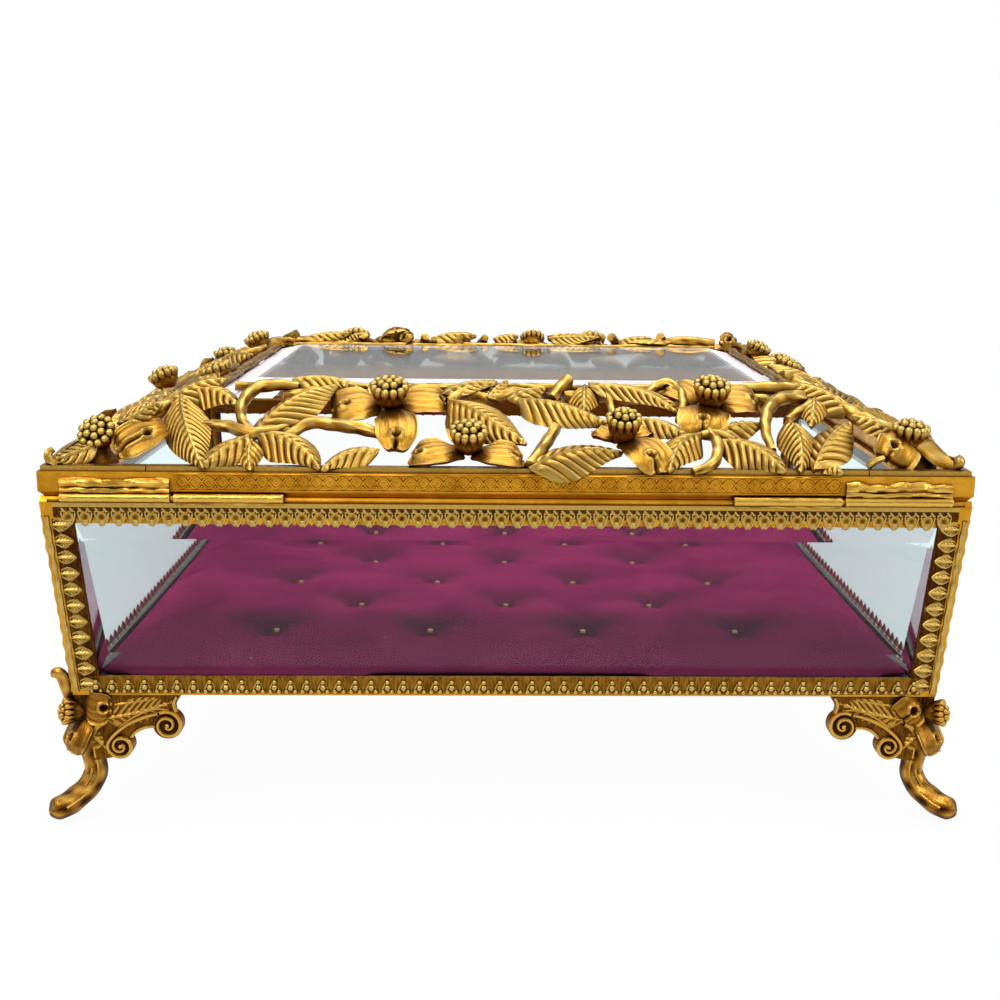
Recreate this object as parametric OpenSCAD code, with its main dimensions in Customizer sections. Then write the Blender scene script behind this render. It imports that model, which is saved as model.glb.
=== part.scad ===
// Glass casket box: bevelled glass panes in a gilt brass frame with toothed gallery strips,
// a hinged lid of leaf-and-berry castings round a bevelled glass, and four cast feet.
// The hinges are on the back, which faces -Y. The origin is on the table, at the centre.

/* [Case] */
// Width across the lid joint, left to right
case_w = 254; // [220:1:300]
// Depth across the lid joint, back to front
case_d = 202; // [180:1:240]
// Height of the base frame, from its feet to the lid joint
base_h = 58; // [48:1:75]
// How far each wall leans in from the lid joint to the bottom
wall_lean = 4.5; // [2:0.5:7]

/* [Frame] */
// Thickness of the brass sheet in the rails and posts
sheet_t = 1.2; // [1:0.1:1.5]
// Height of the top rails
top_rail_h = 7.6; // [6.5:0.1:9]
// Height of the bottom rails
bottom_rail_h = 4.6; // [4:0.1:6]
// Width of each leg of the corner posts
post_w = 7.4; // [7:0.1:9]
// Depth of the rails' inward flanges
flange_w = 7; // [6:0.1:9]
// Size of the chamfer on the top rails' outer edge, below the hinge
rail_chamfer = 1.3; // [1.2:0.1:1.6]
// Gap between the closed lid and the base
lid_gap = 0.2; // [0.1:0.05:0.4]

/* [Gallery strips] */
// Thickness of the gallery strips on the frame's face
gallery_t = 0.8; // [0.5:0.1:1]
// Spacing of the gallery teeth
tooth_pitch = 4.5; // [3.5:0.1:6]
// Height of the teeth
tooth_h = 2.5; // [1.5:0.1:3]
// Width of the plain corner strip on each post
corner_strip_w = 2; // [1.5:0.1:2.4]

/* [Glass] */
// Thickness of the side panes
pane_t = 3; // [2.4:0.1:3.4]
// Width of the bevel round each side pane
pane_bevel = 7.5; // [5:0.1:9]
// Thickness left at the bevelled edge of a side pane
pane_edge = 1.3; // [1:0.1:1.8]
// Clearance round the panes and the cushion
fit_gap = 0.3; // [0.2:0.05:0.5]
// Thickness of the lid glass
lid_glass_t = 5; // [4:0.1:6]
// Width of the bevel round the lid glass
lid_bevel = 9.5; // [7:0.1:12]
// How far the bevel of the lid glass drops
lid_bevel_drop = 2.8; // [1.5:0.1:3.2]

/* [Floor and cushion] */
// Thickness of the sheet floor
floor_t = 0.8; // [0.6:0.1:1.2]
// Thickness of the card under the cushion
board_t = 1.6; // [1:0.1:2.5]
// Height of the cushion's edge
cushion_edge_h = 3; // [2:0.1:5]
// Height of the cushion's crown above its edge
cushion_crown = 4.6; // [3.5:0.1:7]
// Spacing of the tufts across the width
tuft_pitch_x = 47; // [38:1:56]
// Spacing of the tuft rows
tuft_pitch_y = 27; // [22:1:34]
// Depth of the tufts
tuft_depth = 3.4; // [2.4:0.1:4]

/* [Lid] */
// Height of the lid rim
rim_h = 7; // [6:0.1:9]
// Width of the lid rim's top face
rim_w = 5; // [4:0.1:7]
// Wall of the rolled lid rim
rim_wall = 0.8; // [0.6:0.1:1.2]
// Height of the castings' slope, from the rim to the lid glass
slope_rise = 17.2; // [12:0.1:24]
// Level run of the castings' slope
slope_run = 40.5; // [34:0.5:46]
// Width of the flat strip under the castings' lower edge
border_w = 3.4; // [2.6:0.1:4]
// Thickness of that strip
border_t = 1.4; // [1.2:0.1:1.8]
// Radius of the vine that edges the lid glass
vine_r = 1.4; // [1.2:0.1:1.7]
// Thickness of the leaves at the midrib
leaf_t = 3; // [2:0.1:4]
// Size of the berry clusters against the listed radii
berry_size = 1; // [0.8:0.05:1.1]
// Reach of the corner flowers along each side
corner_reach = 29; // [26:0.5:32]

/* [Hinges] */
// Radius of the hinge tubes
knuckle_r = 1.25; // [1.1:0.05:1.4]
// Radius of the hinge pins
pin_r = 0.7; // [0.5:0.05:0.75]
// Running clearance of the pins in the lid's tubes
pin_clearance = 0.05; // [0.03:0.01:0.08]
// Length of each hinge tube
knuckle_len = 30; // [20:1:34]
// Distance from the case's side to the joint of each pair of tubes
hinge_inset = 36; // [35:1:55]
// Distance of the hinge axis behind the rim's face
hinge_standoff = 0.6; // [0.5:0.05:0.8]

/* [Feet] */
// Height of the feet
foot_h = 36; // [30:1:42]
// Thickness of the scrolled brackets
bracket_t = 3.4; // [2.6:0.1:4.5]
// Radius of the toe
toe_r = 3.5; // [3:0.1:4]

/* [Hidden] */

gold = "#c8962e";
dark_gold = "#a87722";
glass_tint = [0.78, 0.86, 0.88, 0.45];
velvet = "#6e2d55";

far = 400;                                   // longer than any piece, for cutting
joint_z = foot_h + base_h;                   // the lid joint
rail_top = joint_z - lid_gap / 2;            // top of the base frame
rim_bottom = joint_z + lid_gap / 2;
rim_top = joint_z + rim_h;
lean_angle = atan(wall_lean / base_h);
sheet_d = gallery_t / cos(lean_angle) + 0.01; // depth of the sheet's face, just behind the gallery
pane_d = sheet_d + sheet_t;                  // depth of a pane's outer face
pane_side = pane_d + pane_t + fit_gap;       // inset of a pane's side edges from the corner
floor_z = foot_h + sheet_t;
board_z = floor_z + floor_t;
cushion_z = board_z + board_t;
cushion_inset = pane_d + pane_t + 2 * fit_gap;

// ---------- shared shapes ----------

// Distance that the outline has moved in at height z
function lean_at(z) = wall_lean * (joint_z - z) / base_h;

// Faces of a block of eight points, the bottom ring first
block_faces = [[0, 1, 2, 3], [7, 6, 5, 4], [0, 4, 5, 1], [1, 5, 6, 2], [2, 6, 7, 3], [3, 7, 4, 0]];

// Block that follows the leaning walls between two heights, inset from the outline
module leaning_block(inset_x, inset_y, z0, z1) {
    function corners(z) = let (x = case_w / 2 - lean_at(z) - inset_x,
                               y = case_d / 2 - lean_at(z) - inset_y)
        [[-x, -y, z], [x, -y, z], [x, y, z], [-x, y, z]];
    polyhedron(concat(corners(z0), corners(z1)), block_faces);
}

// Ring between two insets of the leaning outline
module leaning_ring(outer, inner, z0, z1) {
    difference() {
        leaning_block(outer, outer, z0, z1);
        leaning_block(inner, inner, z0 - 1, z1 + 1);
    }
}

// Half of space on one side: turn 0 is the back, 90 the right, 180 the front, 270 the left
module side_half(turn) {
    rotate([0, 0, turn]) translate([-far / 2, -far, -far / 2]) cube([far, far, far]);
}

// One side of a ring, without its corner posts
module side_of_ring(turn) {
    across = turn % 180 == 0;
    intersection() {
        children();
        leaning_block(across ? post_w : -far, across ? -far : post_w, foot_h - 1, joint_z + 1);
        side_half(turn);
    }
}

// ---------- base frame ----------

module bottom_rail(turn) {
    color(gold) side_of_ring(turn) union() {
        leaning_ring(sheet_d, sheet_d + sheet_t, foot_h, foot_h + bottom_rail_h);
        leaning_ring(sheet_d, flange_w, foot_h, foot_h + sheet_t);
    }
}

module top_ring() {
    difference() {
        union() {
            leaning_ring(sheet_d, sheet_d + sheet_t, joint_z - top_rail_h, rail_top);
            leaning_ring(sheet_d, flange_w, rail_top - sheet_t, rail_top);
        }
        // chamfered outer edge
        rail_edge_cut();
    }
}

// Triangular cut along the back and front top edges
module rail_edge_cut() {
    for (turn = [0, 180])
        rotate([0, 0, turn]) translate([-far / 2, -case_d / 2, rail_top])
            rotate([90, 0, 90]) linear_extrude(far)
                polygon([[-1, 1], [rail_chamfer, 1], [rail_chamfer, 0],
                         [sheet_d / 2, -rail_chamfer], [-1, -rail_chamfer]]);
}

module top_rail(turn) {
    color(gold) side_of_ring(turn) top_ring();
}

// Bar in the front right corner between two insets from each wall, following their lean
module corner_bar(x0, x1, y0, y1, z0, z1) {
    function ring(z) = [for (p = [[x0, y0], [x1, y0], [x1, y1], [x0, y1]])
        [case_w / 2 - lean_at(z) - p[0], case_d / 2 - lean_at(z) - p[1], z]];
    polyhedron(concat(ring(z0), ring(z1)), block_faces);
}

// Folded post with square plates at both ends and a corner strip level with the gallery's face
module corner_post(sx, sy) {
    past = post_w + 1;
    sheet_back = sheet_d + sheet_t;
    color(gold) scale([sx, sy, 1]) difference() {
        corner_bar(0, post_w, 0, post_w, foot_h, rail_top);
        corner_bar(sheet_back, past, sheet_back, past, foot_h + sheet_t, rail_top - sheet_t);
        // steps beside the corner strip, for the gallery
        corner_bar(corner_strip_w, past, -1, sheet_d, foot_h - 1, rail_top + 1);
        corner_bar(-1, sheet_d, corner_strip_w, past, foot_h - 1, rail_top + 1);
        rail_edge_cut();
    }
}

module bottom_plate() {
    color(dark_gold) leaning_block(pane_side, pane_side, floor_z, floor_z + floor_t);
}

// ---------- gallery strips ----------

// Points of a saw-toothed line from [0,0] to [len,0], teeth on the -y side
function saw(len, count) = [for (i = [0:count - 1], part = [0, 0.5])
    [len * (i + part) / count, part == 0 ? 0 : -tooth_h]];

function turned(points, angle, at) = [for (p = points)
    [at[0] + p[0] * cos(angle) - p[1] * sin(angle), at[1] + p[0] * sin(angle) + p[1] * cos(angle)]];

// Toothed frame in the wall's own plane: x along the wall, y up the slope from the bottom
module gallery_panel(top_w) {
    tall = base_h / cos(lean_angle) - lid_gap;
    seam = 0.02;                             // clearance beside the corner strips
    band_side = post_w - 0.4;                // the side teeth reach nearly to the post's edge
    half_at = function (y, inset) top_w / 2 - lean_at(foot_h + y * cos(lean_angle)) - inset;
    low = bottom_rail_h - tooth_h / 2;
    high = tall - top_rail_h;
    low_half = half_at(low, band_side);
    high_half = half_at(high, band_side);
    side_angle = atan2(high_half - low_half, high - low);
    rise = norm([high_half - low_half, high - low]);
    wide_count = round(2 * low_half / tooth_pitch);
    tall_count = round(rise / tooth_pitch);
    outer = [for (c = [[-1, 0], [1, 0], [1, 1], [-1, 1]]) let (y = c[1] * (tall - rail_chamfer))
        [c[0] * half_at(y, corner_strip_w + seam), y]];
    hole = concat(
        turned(saw(2 * low_half, wide_count), 0, [-low_half, low]),
        turned(saw(rise, tall_count), 90 - side_angle, [low_half, low]),
        turned(saw(2 * high_half, wide_count), 180, [high_half, high]),
        turned(saw(rise, tall_count), 270 + side_angle, [-high_half, high]));
    difference() {
        linear_extrude(gallery_t) polygon(outer);
        translate([0, 0, -1]) linear_extrude(gallery_t + 2) polygon(hole);
    }
}

module gallery(turn) {
    across = turn % 180 == 0;
    wall_w = across ? case_w : case_d;
    wall_y = (across ? case_d : case_w) / 2;
    color(gold) rotate([0, 0, turn])
        translate([0, -wall_y + wall_lean, foot_h]) rotate([90 + lean_angle, 0, 0])
            translate([0, 0, -gallery_t]) gallery_panel(wall_w);
}

// ---------- glass ----------

// Bevelled pane in the wall's own plane, outer face up at z 0
module bevelled_pane(low_half, high_half, tall, thick, edge, bevel) {
    function ring(inset, z) = [[-low_half + inset, inset, z], [low_half - inset, inset, z],
        [high_half - inset, tall - inset, z], [-high_half + inset, tall - inset, z]];
    hull() polyhedron(concat(ring(0, -thick), ring(0, edge - thick), ring(bevel, 0)),
        [[3, 2, 1, 0], [8, 9, 10, 11],
         [0, 1, 5, 4], [1, 2, 6, 5], [2, 3, 7, 6], [3, 0, 4, 7],
         [4, 5, 9, 8], [5, 6, 10, 9], [6, 7, 11, 10], [7, 4, 8, 11]]);
}

module glass_pane(turn) {
    across = turn % 180 == 0;
    wall_w = across ? case_w : case_d;
    wall_y = (across ? case_d : case_w) / 2;
    bottom = sheet_t + fit_gap;
    tall = base_h - sheet_t - fit_gap - bottom - lid_gap;
    half_at = function (y) wall_w / 2 - wall_lean * (1 - y / base_h) - pane_side;
    color(glass_tint) rotate([0, 0, turn])
        translate([0, -wall_y + wall_lean, foot_h]) rotate([90 + lean_angle, 0, 0])
            translate([0, bottom, -pane_d])
                bevelled_pane(half_at(bottom), half_at(bottom + tall), tall,
                              pane_t, pane_edge, pane_bevel);
}

// ---------- floor, cushion ----------

module cushion_board() {
    color("#b9a888") leaning_block(cushion_inset, cushion_inset, board_z, cushion_z);
}

tuft_floor = cushion_z + cushion_edge_h + cushion_crown - tuft_depth;
tuft_rows = [for (row = [-2:2]) [row * tuft_pitch_y - tuft_pitch_y / 4,
    row % 2 == 0 ? [-1.5, -0.5, 0.5, 1.5] : [-1, 0, 1]]];

module at_tufts() {
    for (row = tuft_rows, step = row[1])
        translate([step * tuft_pitch_x, row[0], tuft_floor]) children();
}

module velvet_cushion() {
    crown_inset = 4 * cushion_crown;
    color(velvet) difference() {
        hull() {
            leaning_block(cushion_inset, cushion_inset, cushion_z, cushion_z + cushion_edge_h);
            leaning_block(cushion_inset + crown_inset, cushion_inset + crown_inset,
                cushion_z + cushion_edge_h, cushion_z + cushion_edge_h + cushion_crown);
        }
        at_tufts() cylinder(h = tuft_depth + 1, r1 = 1.4, r2 = 1.4 + 2.2 * tuft_depth, $fn = 24);
    }
}

module tuft_stitches() {
    color("#8a5a3c") at_tufts() cylinder(h = 0.7, r = 0.8, $fn = 16);
}

// ---------- feet ----------

// A foot stands under the corner at the origin and reaches inward along +x and +y
module foot_bracket() {
    bracket_profile = [[0, 0], [29.5, 0], [29.8, -4], [26, -8], [21, -8], [17, -10.5], [14, -14],
        [12, -19], [7, -20], [3, -19], [0, -12]];
    translate([0, bracket_t + 0.6, foot_h]) rotate([90, 0, 0]) {
        linear_extrude(bracket_t) polygon(bracket_profile);
        translate([26.2, -9.2, -0.3]) cylinder(h = bracket_t + 0.7, r = 4.3, $fn = 16);
        translate([12.5, -15.5, -0.3]) cylinder(h = bracket_t + 0.7, r = 3.6, $fn = 14);
    }
}

// Stations of the leg: distance inward on the diagonal axes, height as a share, radius
leg_stations = [[5, 0.62, 3.6], [5.8, 0.5, 2.9], [5.6, 0.39, 2.7], [4.2, 0.28, 2.6],
    [1.7, 0.19, 2.5], [-1.4, 0.13, 2.6]];

module foot_leg() {
    toe = [-4.2, -4.2, toe_r - 0.2];
    for (i = [0:len(leg_stations) - 2])
        hull() for (s = [leg_stations[i], leg_stations[i + 1]])
            translate([s[0], s[0], s[1] * foot_h]) sphere(s[2], $fn = 7);
    last = leg_stations[len(leg_stations) - 1];
    hull() {
        translate([last[0], last[0], last[1] * foot_h]) sphere(last[2], $fn = 7);
        translate(toe) sphere(toe_r, $fn = 9);
    }
}

module foot(sx, sy, with_upper_petal) {
    base_x = case_w / 2 - wall_lean;
    base_y = case_d / 2 - wall_lean;
    color(gold) translate([sx * base_x, sy * base_y, 0]) scale([-sx, -sy, 1])
        intersection() {
            union() {
                foot_bracket();
                mirror([1, -1, 0]) foot_bracket();
                // corner block under the post
                hull() {
                    translate([0.4, 0.4, foot_h - 1]) cube([8, 8, 1]);
                    translate([5, 5, 0.6 * foot_h]) sphere(3.8, $fn = 8);
                }
                foot_leg();
                // berry cluster on the corner
                translate([1.6, 1.6, foot_h - 4.8]) rotate([0, -74, 45]) berry(3.6);
                // petals: along each side and down the leg
                translate([1, 0.8, foot_h - 3.5]) rotate([90, 10, 0]) petal(9, 8.5);
                mirror([1, -1, 0]) translate([1, 0.8, foot_h - 3.5]) rotate([90, 10, 0]) petal(9, 8.5);
                translate([0.6, 0.6, foot_h - 7.5]) rotate([0, 0, 45]) rotate([0, 115, 180])
                    petal(10, 9);
                if (with_upper_petal)
                    hull() {
                        translate([-1.6, 3.5, foot_h - 3]) sphere(1.3, $fn = 8);
                        translate([-3, 3, foot_h + 3]) sphere(1.4, $fn = 8);
                        translate([-5.4, 2.5, foot_h + 6.4]) sphere(1.5, $fn = 8);
                    }
            }
            // flat toe and flat seat under the frame, open outside the outline for the petal
            union() {
                translate([-20, -20, 0]) cube([80, 80, foot_h]);
                translate([-20, -20, 0]) cube([20 - 1, 80, foot_h + 20]);
            }
        }
}

// ---------- leaves, petals and berries ----------

// Stations along a leaf: distance and half width as shares, height of the midrib as a share
leaf_stations = [[0, 0.14, 0.6], [0.2, 0.68, 0.92], [0.45, 1, 1], [0.75, 0.68, 0.85],
    [1, 0.06, 0.45]];
petal_stations = [[0, 0.3, 0.55], [0.3, 0.88, 0.85], [0.65, 1, 1], [1, 0.45, 0.7]];

// Bulged blade along +x on the plane z 0
module blade(stations, length, width, thick) {
    count = len(stations);
    points = [for (s = stations)
        for (corner = [[-1, 0], [0, 1], [1, 0]])
            [s[0] * length, corner[0] * s[1] * width / 2, corner[1] * s[2] * thick]];
    sides = [for (i = [0:count - 2], k = [0:2])
        [3 * i + k, 3 * i + (k + 1) % 3, 3 * i + 3 + (k + 1) % 3, 3 * i + 3 + k]];
    hull() polyhedron(points, concat(sides, [[2, 1, 0], [for (k = [0:2]) 3 * (count - 1) + k]]));
}

module leaf(length, width) {
    blade(leaf_stations, length, width, leaf_t);
}

module petal(length, width) {
    blade(petal_stations, length, width, leaf_t * 0.8);
}

// Cluster of round-headed pegs, standing on z 0
module berry(r) {
    dome_z = r * 1.6;
    hull() {
        translate([0, 0, r * 0.55]) sphere(r * 0.6, $fn = 6);
        translate([0, 0, dome_z]) sphere(r * 0.88, $fn = 8);
    }
    // pegs: how many, distance from the middle, height over the dome's centre
    for (ring = [[1, 0, 0.75], [5, 0.72, 0.43]], i = [0:ring[0] - 1])
        rotate([0, 0, 360 * i / ring[0] + 7]) translate([ring[1] * r, 0, dome_z + ring[2] * r])
            sphere(r * 0.31, $fn = 5);
}

// ---------- lid rim ----------

// Rolled section: x is the depth from the rim's face, y the height above the joint
module rim_section() {
    difference() {
        polygon([[rail_chamfer, 0], [0, rail_chamfer + 0.2], [0, rim_h - lid_gap / 2],
                 [rim_w, rim_h - lid_gap / 2], [rim_w, 0]]);
        polygon([[rail_chamfer + rim_wall / 2, rim_wall], [rim_wall, rail_chamfer + 0.5],
                 [rim_wall, rim_h - lid_gap / 2 - rim_wall],
                 [rim_w - rim_wall, rim_h - lid_gap / 2 - rim_wall], [rim_w - rim_wall, rim_wall]]);
    }
}

// One side of the rim, mitred at both ends
module lid_rim(turn) {
    across = turn % 180 == 0;
    side_w = across ? case_w : case_d;
    side_y = (across ? case_d : case_w) / 2;
    color(gold) rotate([0, 0, turn]) difference() {
        translate([-side_w / 2, -side_y, rim_bottom]) rotate([90, 0, 90])
            linear_extrude(side_w) rim_section();
        for (end = [-1, 1])
            translate([end * side_w / 2, -side_y, 0]) rotate([0, 0, end * 45])
                translate([end < 0 ? -far : 0, -far / 2, rim_bottom - 1]) cube([far, far, rim_h + 2]);
    }
}

// ---------- castings of the lid ----------

slope_angle = atan(slope_rise / slope_run);
slope_len = norm([slope_rise, slope_run]);
seat_inset = 1.5;                            // where the slope starts, from the rim's face
corner_depth = 21;                           // depth of the corner flowers' ground
mitre_gap = 3.4;                             // half width of the corner twig's ground
part_gap = 0.15;                             // half the gap between two castings

// Place on the slope of a side half_w wide: u and v in percent, of the half width and the slope
function on_slope(half_w, u, v) = [half_w * u / 100, slope_len * v / 100];

// Blade from one place on the slope to another
module blade_between(half_w, row, is_petal) {
    p0 = on_slope(half_w, row[0], row[1]);
    p1 = on_slope(half_w, row[2], row[3]);
    d = p1 - p0;
    translate([p0[0], p0[1], 0]) rotate([0, 0, atan2(d[1], d[0])])
        if (is_petal) petal(norm(d), row[4]); else leaf(norm(d), row[4]);
}

// Twig through places on the slope, lying on it
module twig(half_w, r, places) {
    for (i = [0:len(places) - 2])
        hull() for (p = [places[i], places[i + 1]]) {
            at = on_slope(half_w, p[0], p[1]);
            translate([at[0], at[1], r * 0.9]) sphere(r, $fn = 6);
        }
}

// Rows: from u, v to u, v, and the width in mm
long_leaves = [
    [-74, 72, -62, 56, 10], [-73, 70, -65, 0, 14], [-55, 32, -65, -1, 9], [-55, 30, -40, -1, 13],
    [-55, 32, -40, 92, 12], [-29, 14, -39, -1, 11], [-15, 78, 4, 22, 16], [2, 92, 22, 38, 14],
    [3, 1, 26, 13, 14], [0, 84, 9, 100, 9], [17, 56, 17, 97, 9], [19, 99, 38, 58, 12],
    [26, 48, 41, 31, 9], [41, 34, 33, -1, 11], [46, 44, 58, 50, 10], [45, 28, 59, -1, 14],
    [62, 54, 64, -1, 13], [66, 86, 68, 34, 10], [77, 28, 65, -1, 15]];
long_petals = [
    [-28, 62, -41, 58, 16], [-28, 62, -26, 8, 13], [-27, 68, -13, 72, 14],
    [-9, 18, -21, 4, 14], [-9, 18, 4, 4, 14], [25, 32, 32, -1, 14],
    [46, 72, 43, 36, 15], [46, 74, 59, 76, 11]];
long_berries = [[-27, 67, 5.1], [-9, 15, 4.5], [25, 28, 4.3], [46, 72, 4.6]];
long_twigs = [
    [1.7, [[-67, 38], [-55, 32]]], [1.8, [[-55, 32], [-60, 56], [-58, 78], [-50, 92], [-39, 96]]],
    [2, [[-55, 32], [-55, 0]]], [1.8, [[-45, 27], [-36, 30], [-26, 42]]],
    [1.8, [[-15, 78], [-8, 94], [0, 99]]], [2, [[4, 3], [13, 56]]],
    [1.1, [[22, 94], [25, 30]]], [1.5, [[36, 97], [41, 93], [39, 56], [46, 60]]],
    [1.8, [[42, 36], [45, 14], [40, -1]]], [1.9, [[57, 30], [58, 50], [62, 74], [67, 94]]]];
short_leaves = [
    [-66, 66, -56, 3, 15], [-46, 38, -56, 90, 12], [-40, 38, -45, -1, 12], [-26, 26, -12, 1, 13],
    [-24, 50, -8, 96, 14], [-4, 34, 6, -1, 11], [12, 68, 28, 97, 12], [26, 34, 41, 1, 14],
    [30, 42, 48, 54, 11], [52, 64, 69, 26, 13], [64, 12, 46, 24, 11], [-72, 12, -46, 14, 10]];
short_petals = [
    [-37, 52, -50, 50, 14], [-37, 50, -22, 38, 14], [14, 44, 1, 60, 14], [16, 42, 26, 18, 13],
    [47, 82, 35, 66, 13], [48, 80, 57, 92, 10]];
short_berries = [[-37, 50, 4.8], [14, 43, 5], [47, 80, 4.5]];
short_twigs = [
    [1.9, [[-64, 68], [-52, 97]]], [1.8, [[-38, 50], [-30, 80], [-34, 98]]],
    [1.8, [[-22, 50], [-6, 62], [14, 42]]], [1.9, [[14, 40], [18, 0]]],
    [1.8, [[26, 98], [47, 78]]], [1.8, [[54, 58], [54, 97]]], [1.8, [[46, 52], [50, 0]]],
    [1.7, [[-12, 56], [-15, 0]]], [1.8, [[-57, 30], [-38, 40]]]];

module castings_on_slope(half_w, leaves, petals, berries, twigs) {
    for (row = leaves) blade_between(half_w, row, false);
    for (row = petals) blade_between(half_w, row, true);
    for (b = berries) {
        at = on_slope(half_w, b[0], b[1]);
        translate([at[0], at[1], 0]) berry(b[2] * berry_size);
    }
    for (t = twigs) twig(half_w, t[0], t[1]);
    // vine along the glass, swaying a little
    ends = 100 * (half_w - slope_run - seat_inset - mitre_gap) / half_w;
    twig(half_w, vine_r, [for (i = [0:6]) [ends * (i / 3 - 1), i % 2 == 0 ? 98 : 101]]);
}

// Ground of a corner flower in plan, with the corner at the origin, grown by g
module corner_ground(g) {
    top = slope_run + 8;
    linear_extrude(rim_top + 60) polygon([[-2, -2], [corner_reach + g, -2],
        [corner_reach + g, corner_depth + g], [corner_depth + mitre_gap + g, corner_depth + g],
        [top + mitre_gap + g, top], [top, top + mitre_gap + g],
        [corner_depth + g, corner_depth + mitre_gap + g], [corner_depth + g, corner_reach + g],
        [-2, corner_reach + g]]);
}

module filigree(turn) {
    across = turn % 180 == 0;
    half_w = (across ? case_w : case_d) / 2;
    side_y = (across ? case_d : case_w) / 2;
    color(gold) rotate([0, 0, turn]) difference() {
        union() {
            translate([0, -side_y + seat_inset, rim_top + 0.2]) rotate([slope_angle, 0, 0])
                if (across) castings_on_slope(half_w, long_leaves, long_petals, long_berries, long_twigs);
                else castings_on_slope(half_w, short_leaves, short_petals, short_berries, short_twigs);
            translate([-half_w + rim_w, -side_y + (rim_w - border_w) / 2, rim_top])
                cube([2 * (half_w - rim_w), border_w, border_t]);
        }
        for (end = [-1, 1])
            translate([end * half_w, -side_y, 0]) scale([-end, 1, 1]) {
                corner_ground(part_gap);
                // whatever lies past the mitre
                linear_extrude(rim_top + 60) polygon([[-2, 0], [far, far], [-2, far]]);
            }
        translate([-far / 2, -far / 2, rim_top - far]) cube([far, far, far]);
    }
}

module corner_flower(sx, sy) {
    on_mitre = [[10, 3.2, 2.2], [18, 2, 2], [26, 2, 2.3], [34, 2.6, 2.1], [41, 2.2, 1.8]];
    color(gold) translate([sx * case_w / 2, sy * case_d / 2, 0]) scale([-sx, -sy, 1])
        intersection() {
            difference() {
                union() {
                    // twig up the mitre: inset, height above the slope, radius
                    for (i = [0:len(on_mitre) - 2])
                        hull() for (s = [on_mitre[i], on_mitre[i + 1]])
                            translate([s[0], s[0], rim_top + tan(slope_angle) * (s[0] - seat_inset) + s[1]])
                                sphere(s[2], $fn = 7);
                    // petals round the berry
                    translate([13, 13, rim_top + 6.5]) {
                        rotate([0, 16, -3]) petal(15, 13);
                        rotate([0, 16, 93]) petal(15, 13);
                        rotate([0, -12, 45]) petal(12, 11);
                        rotate([0, 18, 225]) petal(15, 12);
                        berry(5 * berry_size);
                    }
                    // leaf beside the mitre
                    translate([29, 29, rim_top + tan(slope_angle) * 28 + 3.4]) rotate([0, 14, 225])
                        leaf(15, 8);
                    // foot of the flower on the rim
                    hull() {
                        translate([1.2, 1.2, rim_top]) cube([9, 9, 1.2]);
                        translate([12, 12, rim_top + 6]) sphere(3, $fn = 8);
                    }
                    border_strip = corner_reach - part_gap;
                    for (flip = [0, 1]) mirror([flip, -flip, 0])
                        translate([(rim_w - border_w) / 2, (rim_w - border_w) / 2, rim_top])
                            cube([border_strip - (rim_w - border_w) / 2, border_w, border_t]);
                }
                translate([-far / 2, -far / 2, rim_top - far]) cube([far, far, far]);
            }
            corner_ground(-part_gap);
        }
}

// ---------- lid glass ----------

glass_inset = seat_inset + slope_run - 0.5;
glass_top = rim_top + slope_rise - 0.5 + lid_bevel_drop - 0.2;
glass_edge = lid_glass_t - lid_bevel_drop;

module lid_glass() {
    half_x = case_w / 2 - glass_inset;
    deep = case_d - 2 * glass_inset;
    color(glass_tint) translate([0, -deep / 2, glass_top])
        bevelled_pane(half_x, half_x, deep, lid_glass_t, glass_edge, lid_bevel);
}

// Bent tabs that hold the glass from below, four on each long side and two on each short side
module glass_tabs() {
    tab_w = 7;
    tab_t = 0.8;
    ledge = 3.5;
    seat = glass_top - lid_glass_t;
    leg_h = glass_edge + tab_t - 0.3;
    for (turn = [0, 90, 180, 270]) {
        across = turn % 180 == 0;
        side_y = (across ? case_d : case_w) / 2 - glass_inset;
        reach = (across ? case_w : case_d) / 2 - glass_inset;
        for (share = across ? [-0.75, -0.25, 0.25, 0.75] : [-0.5, 0.5])
            color(dark_gold) rotate([0, 0, turn])
                translate([share * reach - tab_w / 2, -side_y - tab_t - 0.1, seat - tab_t]) {
                    cube([tab_w, tab_t, leg_h]);
                    cube([tab_w, tab_t + ledge, tab_t]);
                }
    }
}

// ---------- hinges ----------

axis_y = -case_d / 2 - hinge_standoff;
hinge_x = case_w / 2 - hinge_inset;

// Tube along x from x0, with a leaf soldered to the rim above or to the rail below
module hinge_tube(x0, bore_r, leaf_profile) {
    translate([x0, axis_y, joint_z]) rotate([90, 0, 90]) difference() {
        union() {
            cylinder(h = knuckle_len, r = knuckle_r, $fn = 32);
            linear_extrude(knuckle_len) polygon(leaf_profile);
        }
        translate([0, 0, -1]) cylinder(h = knuckle_len + 2, r = bore_r, $fn = 32);
    }
}

leaf_back = -0.35;                           // outer face of the leaves, from the axis
lid_leaf = [[leaf_back, 0.9], [hinge_standoff - 0.05, rail_chamfer + 0.4],
    [hinge_standoff, rail_chamfer + 0.6], [hinge_standoff, rim_h - 1.4], [leaf_back, rim_h - 1.4]];
base_leaf_drop = rail_chamfer + 2.2;
base_leaf = [[leaf_back, -0.9], [leaf_back, -base_leaf_drop],
    [hinge_standoff + lean_at(joint_z - base_leaf_drop), -base_leaf_drop],
    [hinge_standoff + lean_at(joint_z - rail_chamfer - 0.6), -rail_chamfer - 0.6]];

module hinge_tube_lid(side) {
    x0 = side < 0 ? -hinge_x - knuckle_len : hinge_x + 0.3;
    color(gold) hinge_tube(x0, pin_r + pin_clearance, lid_leaf);
}

module hinge_tube_base(side) {
    x0 = side < 0 ? -hinge_x + 0.3 : hinge_x - knuckle_len;
    color(gold) hinge_tube(x0, pin_r + 0.02, base_leaf);
}

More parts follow.
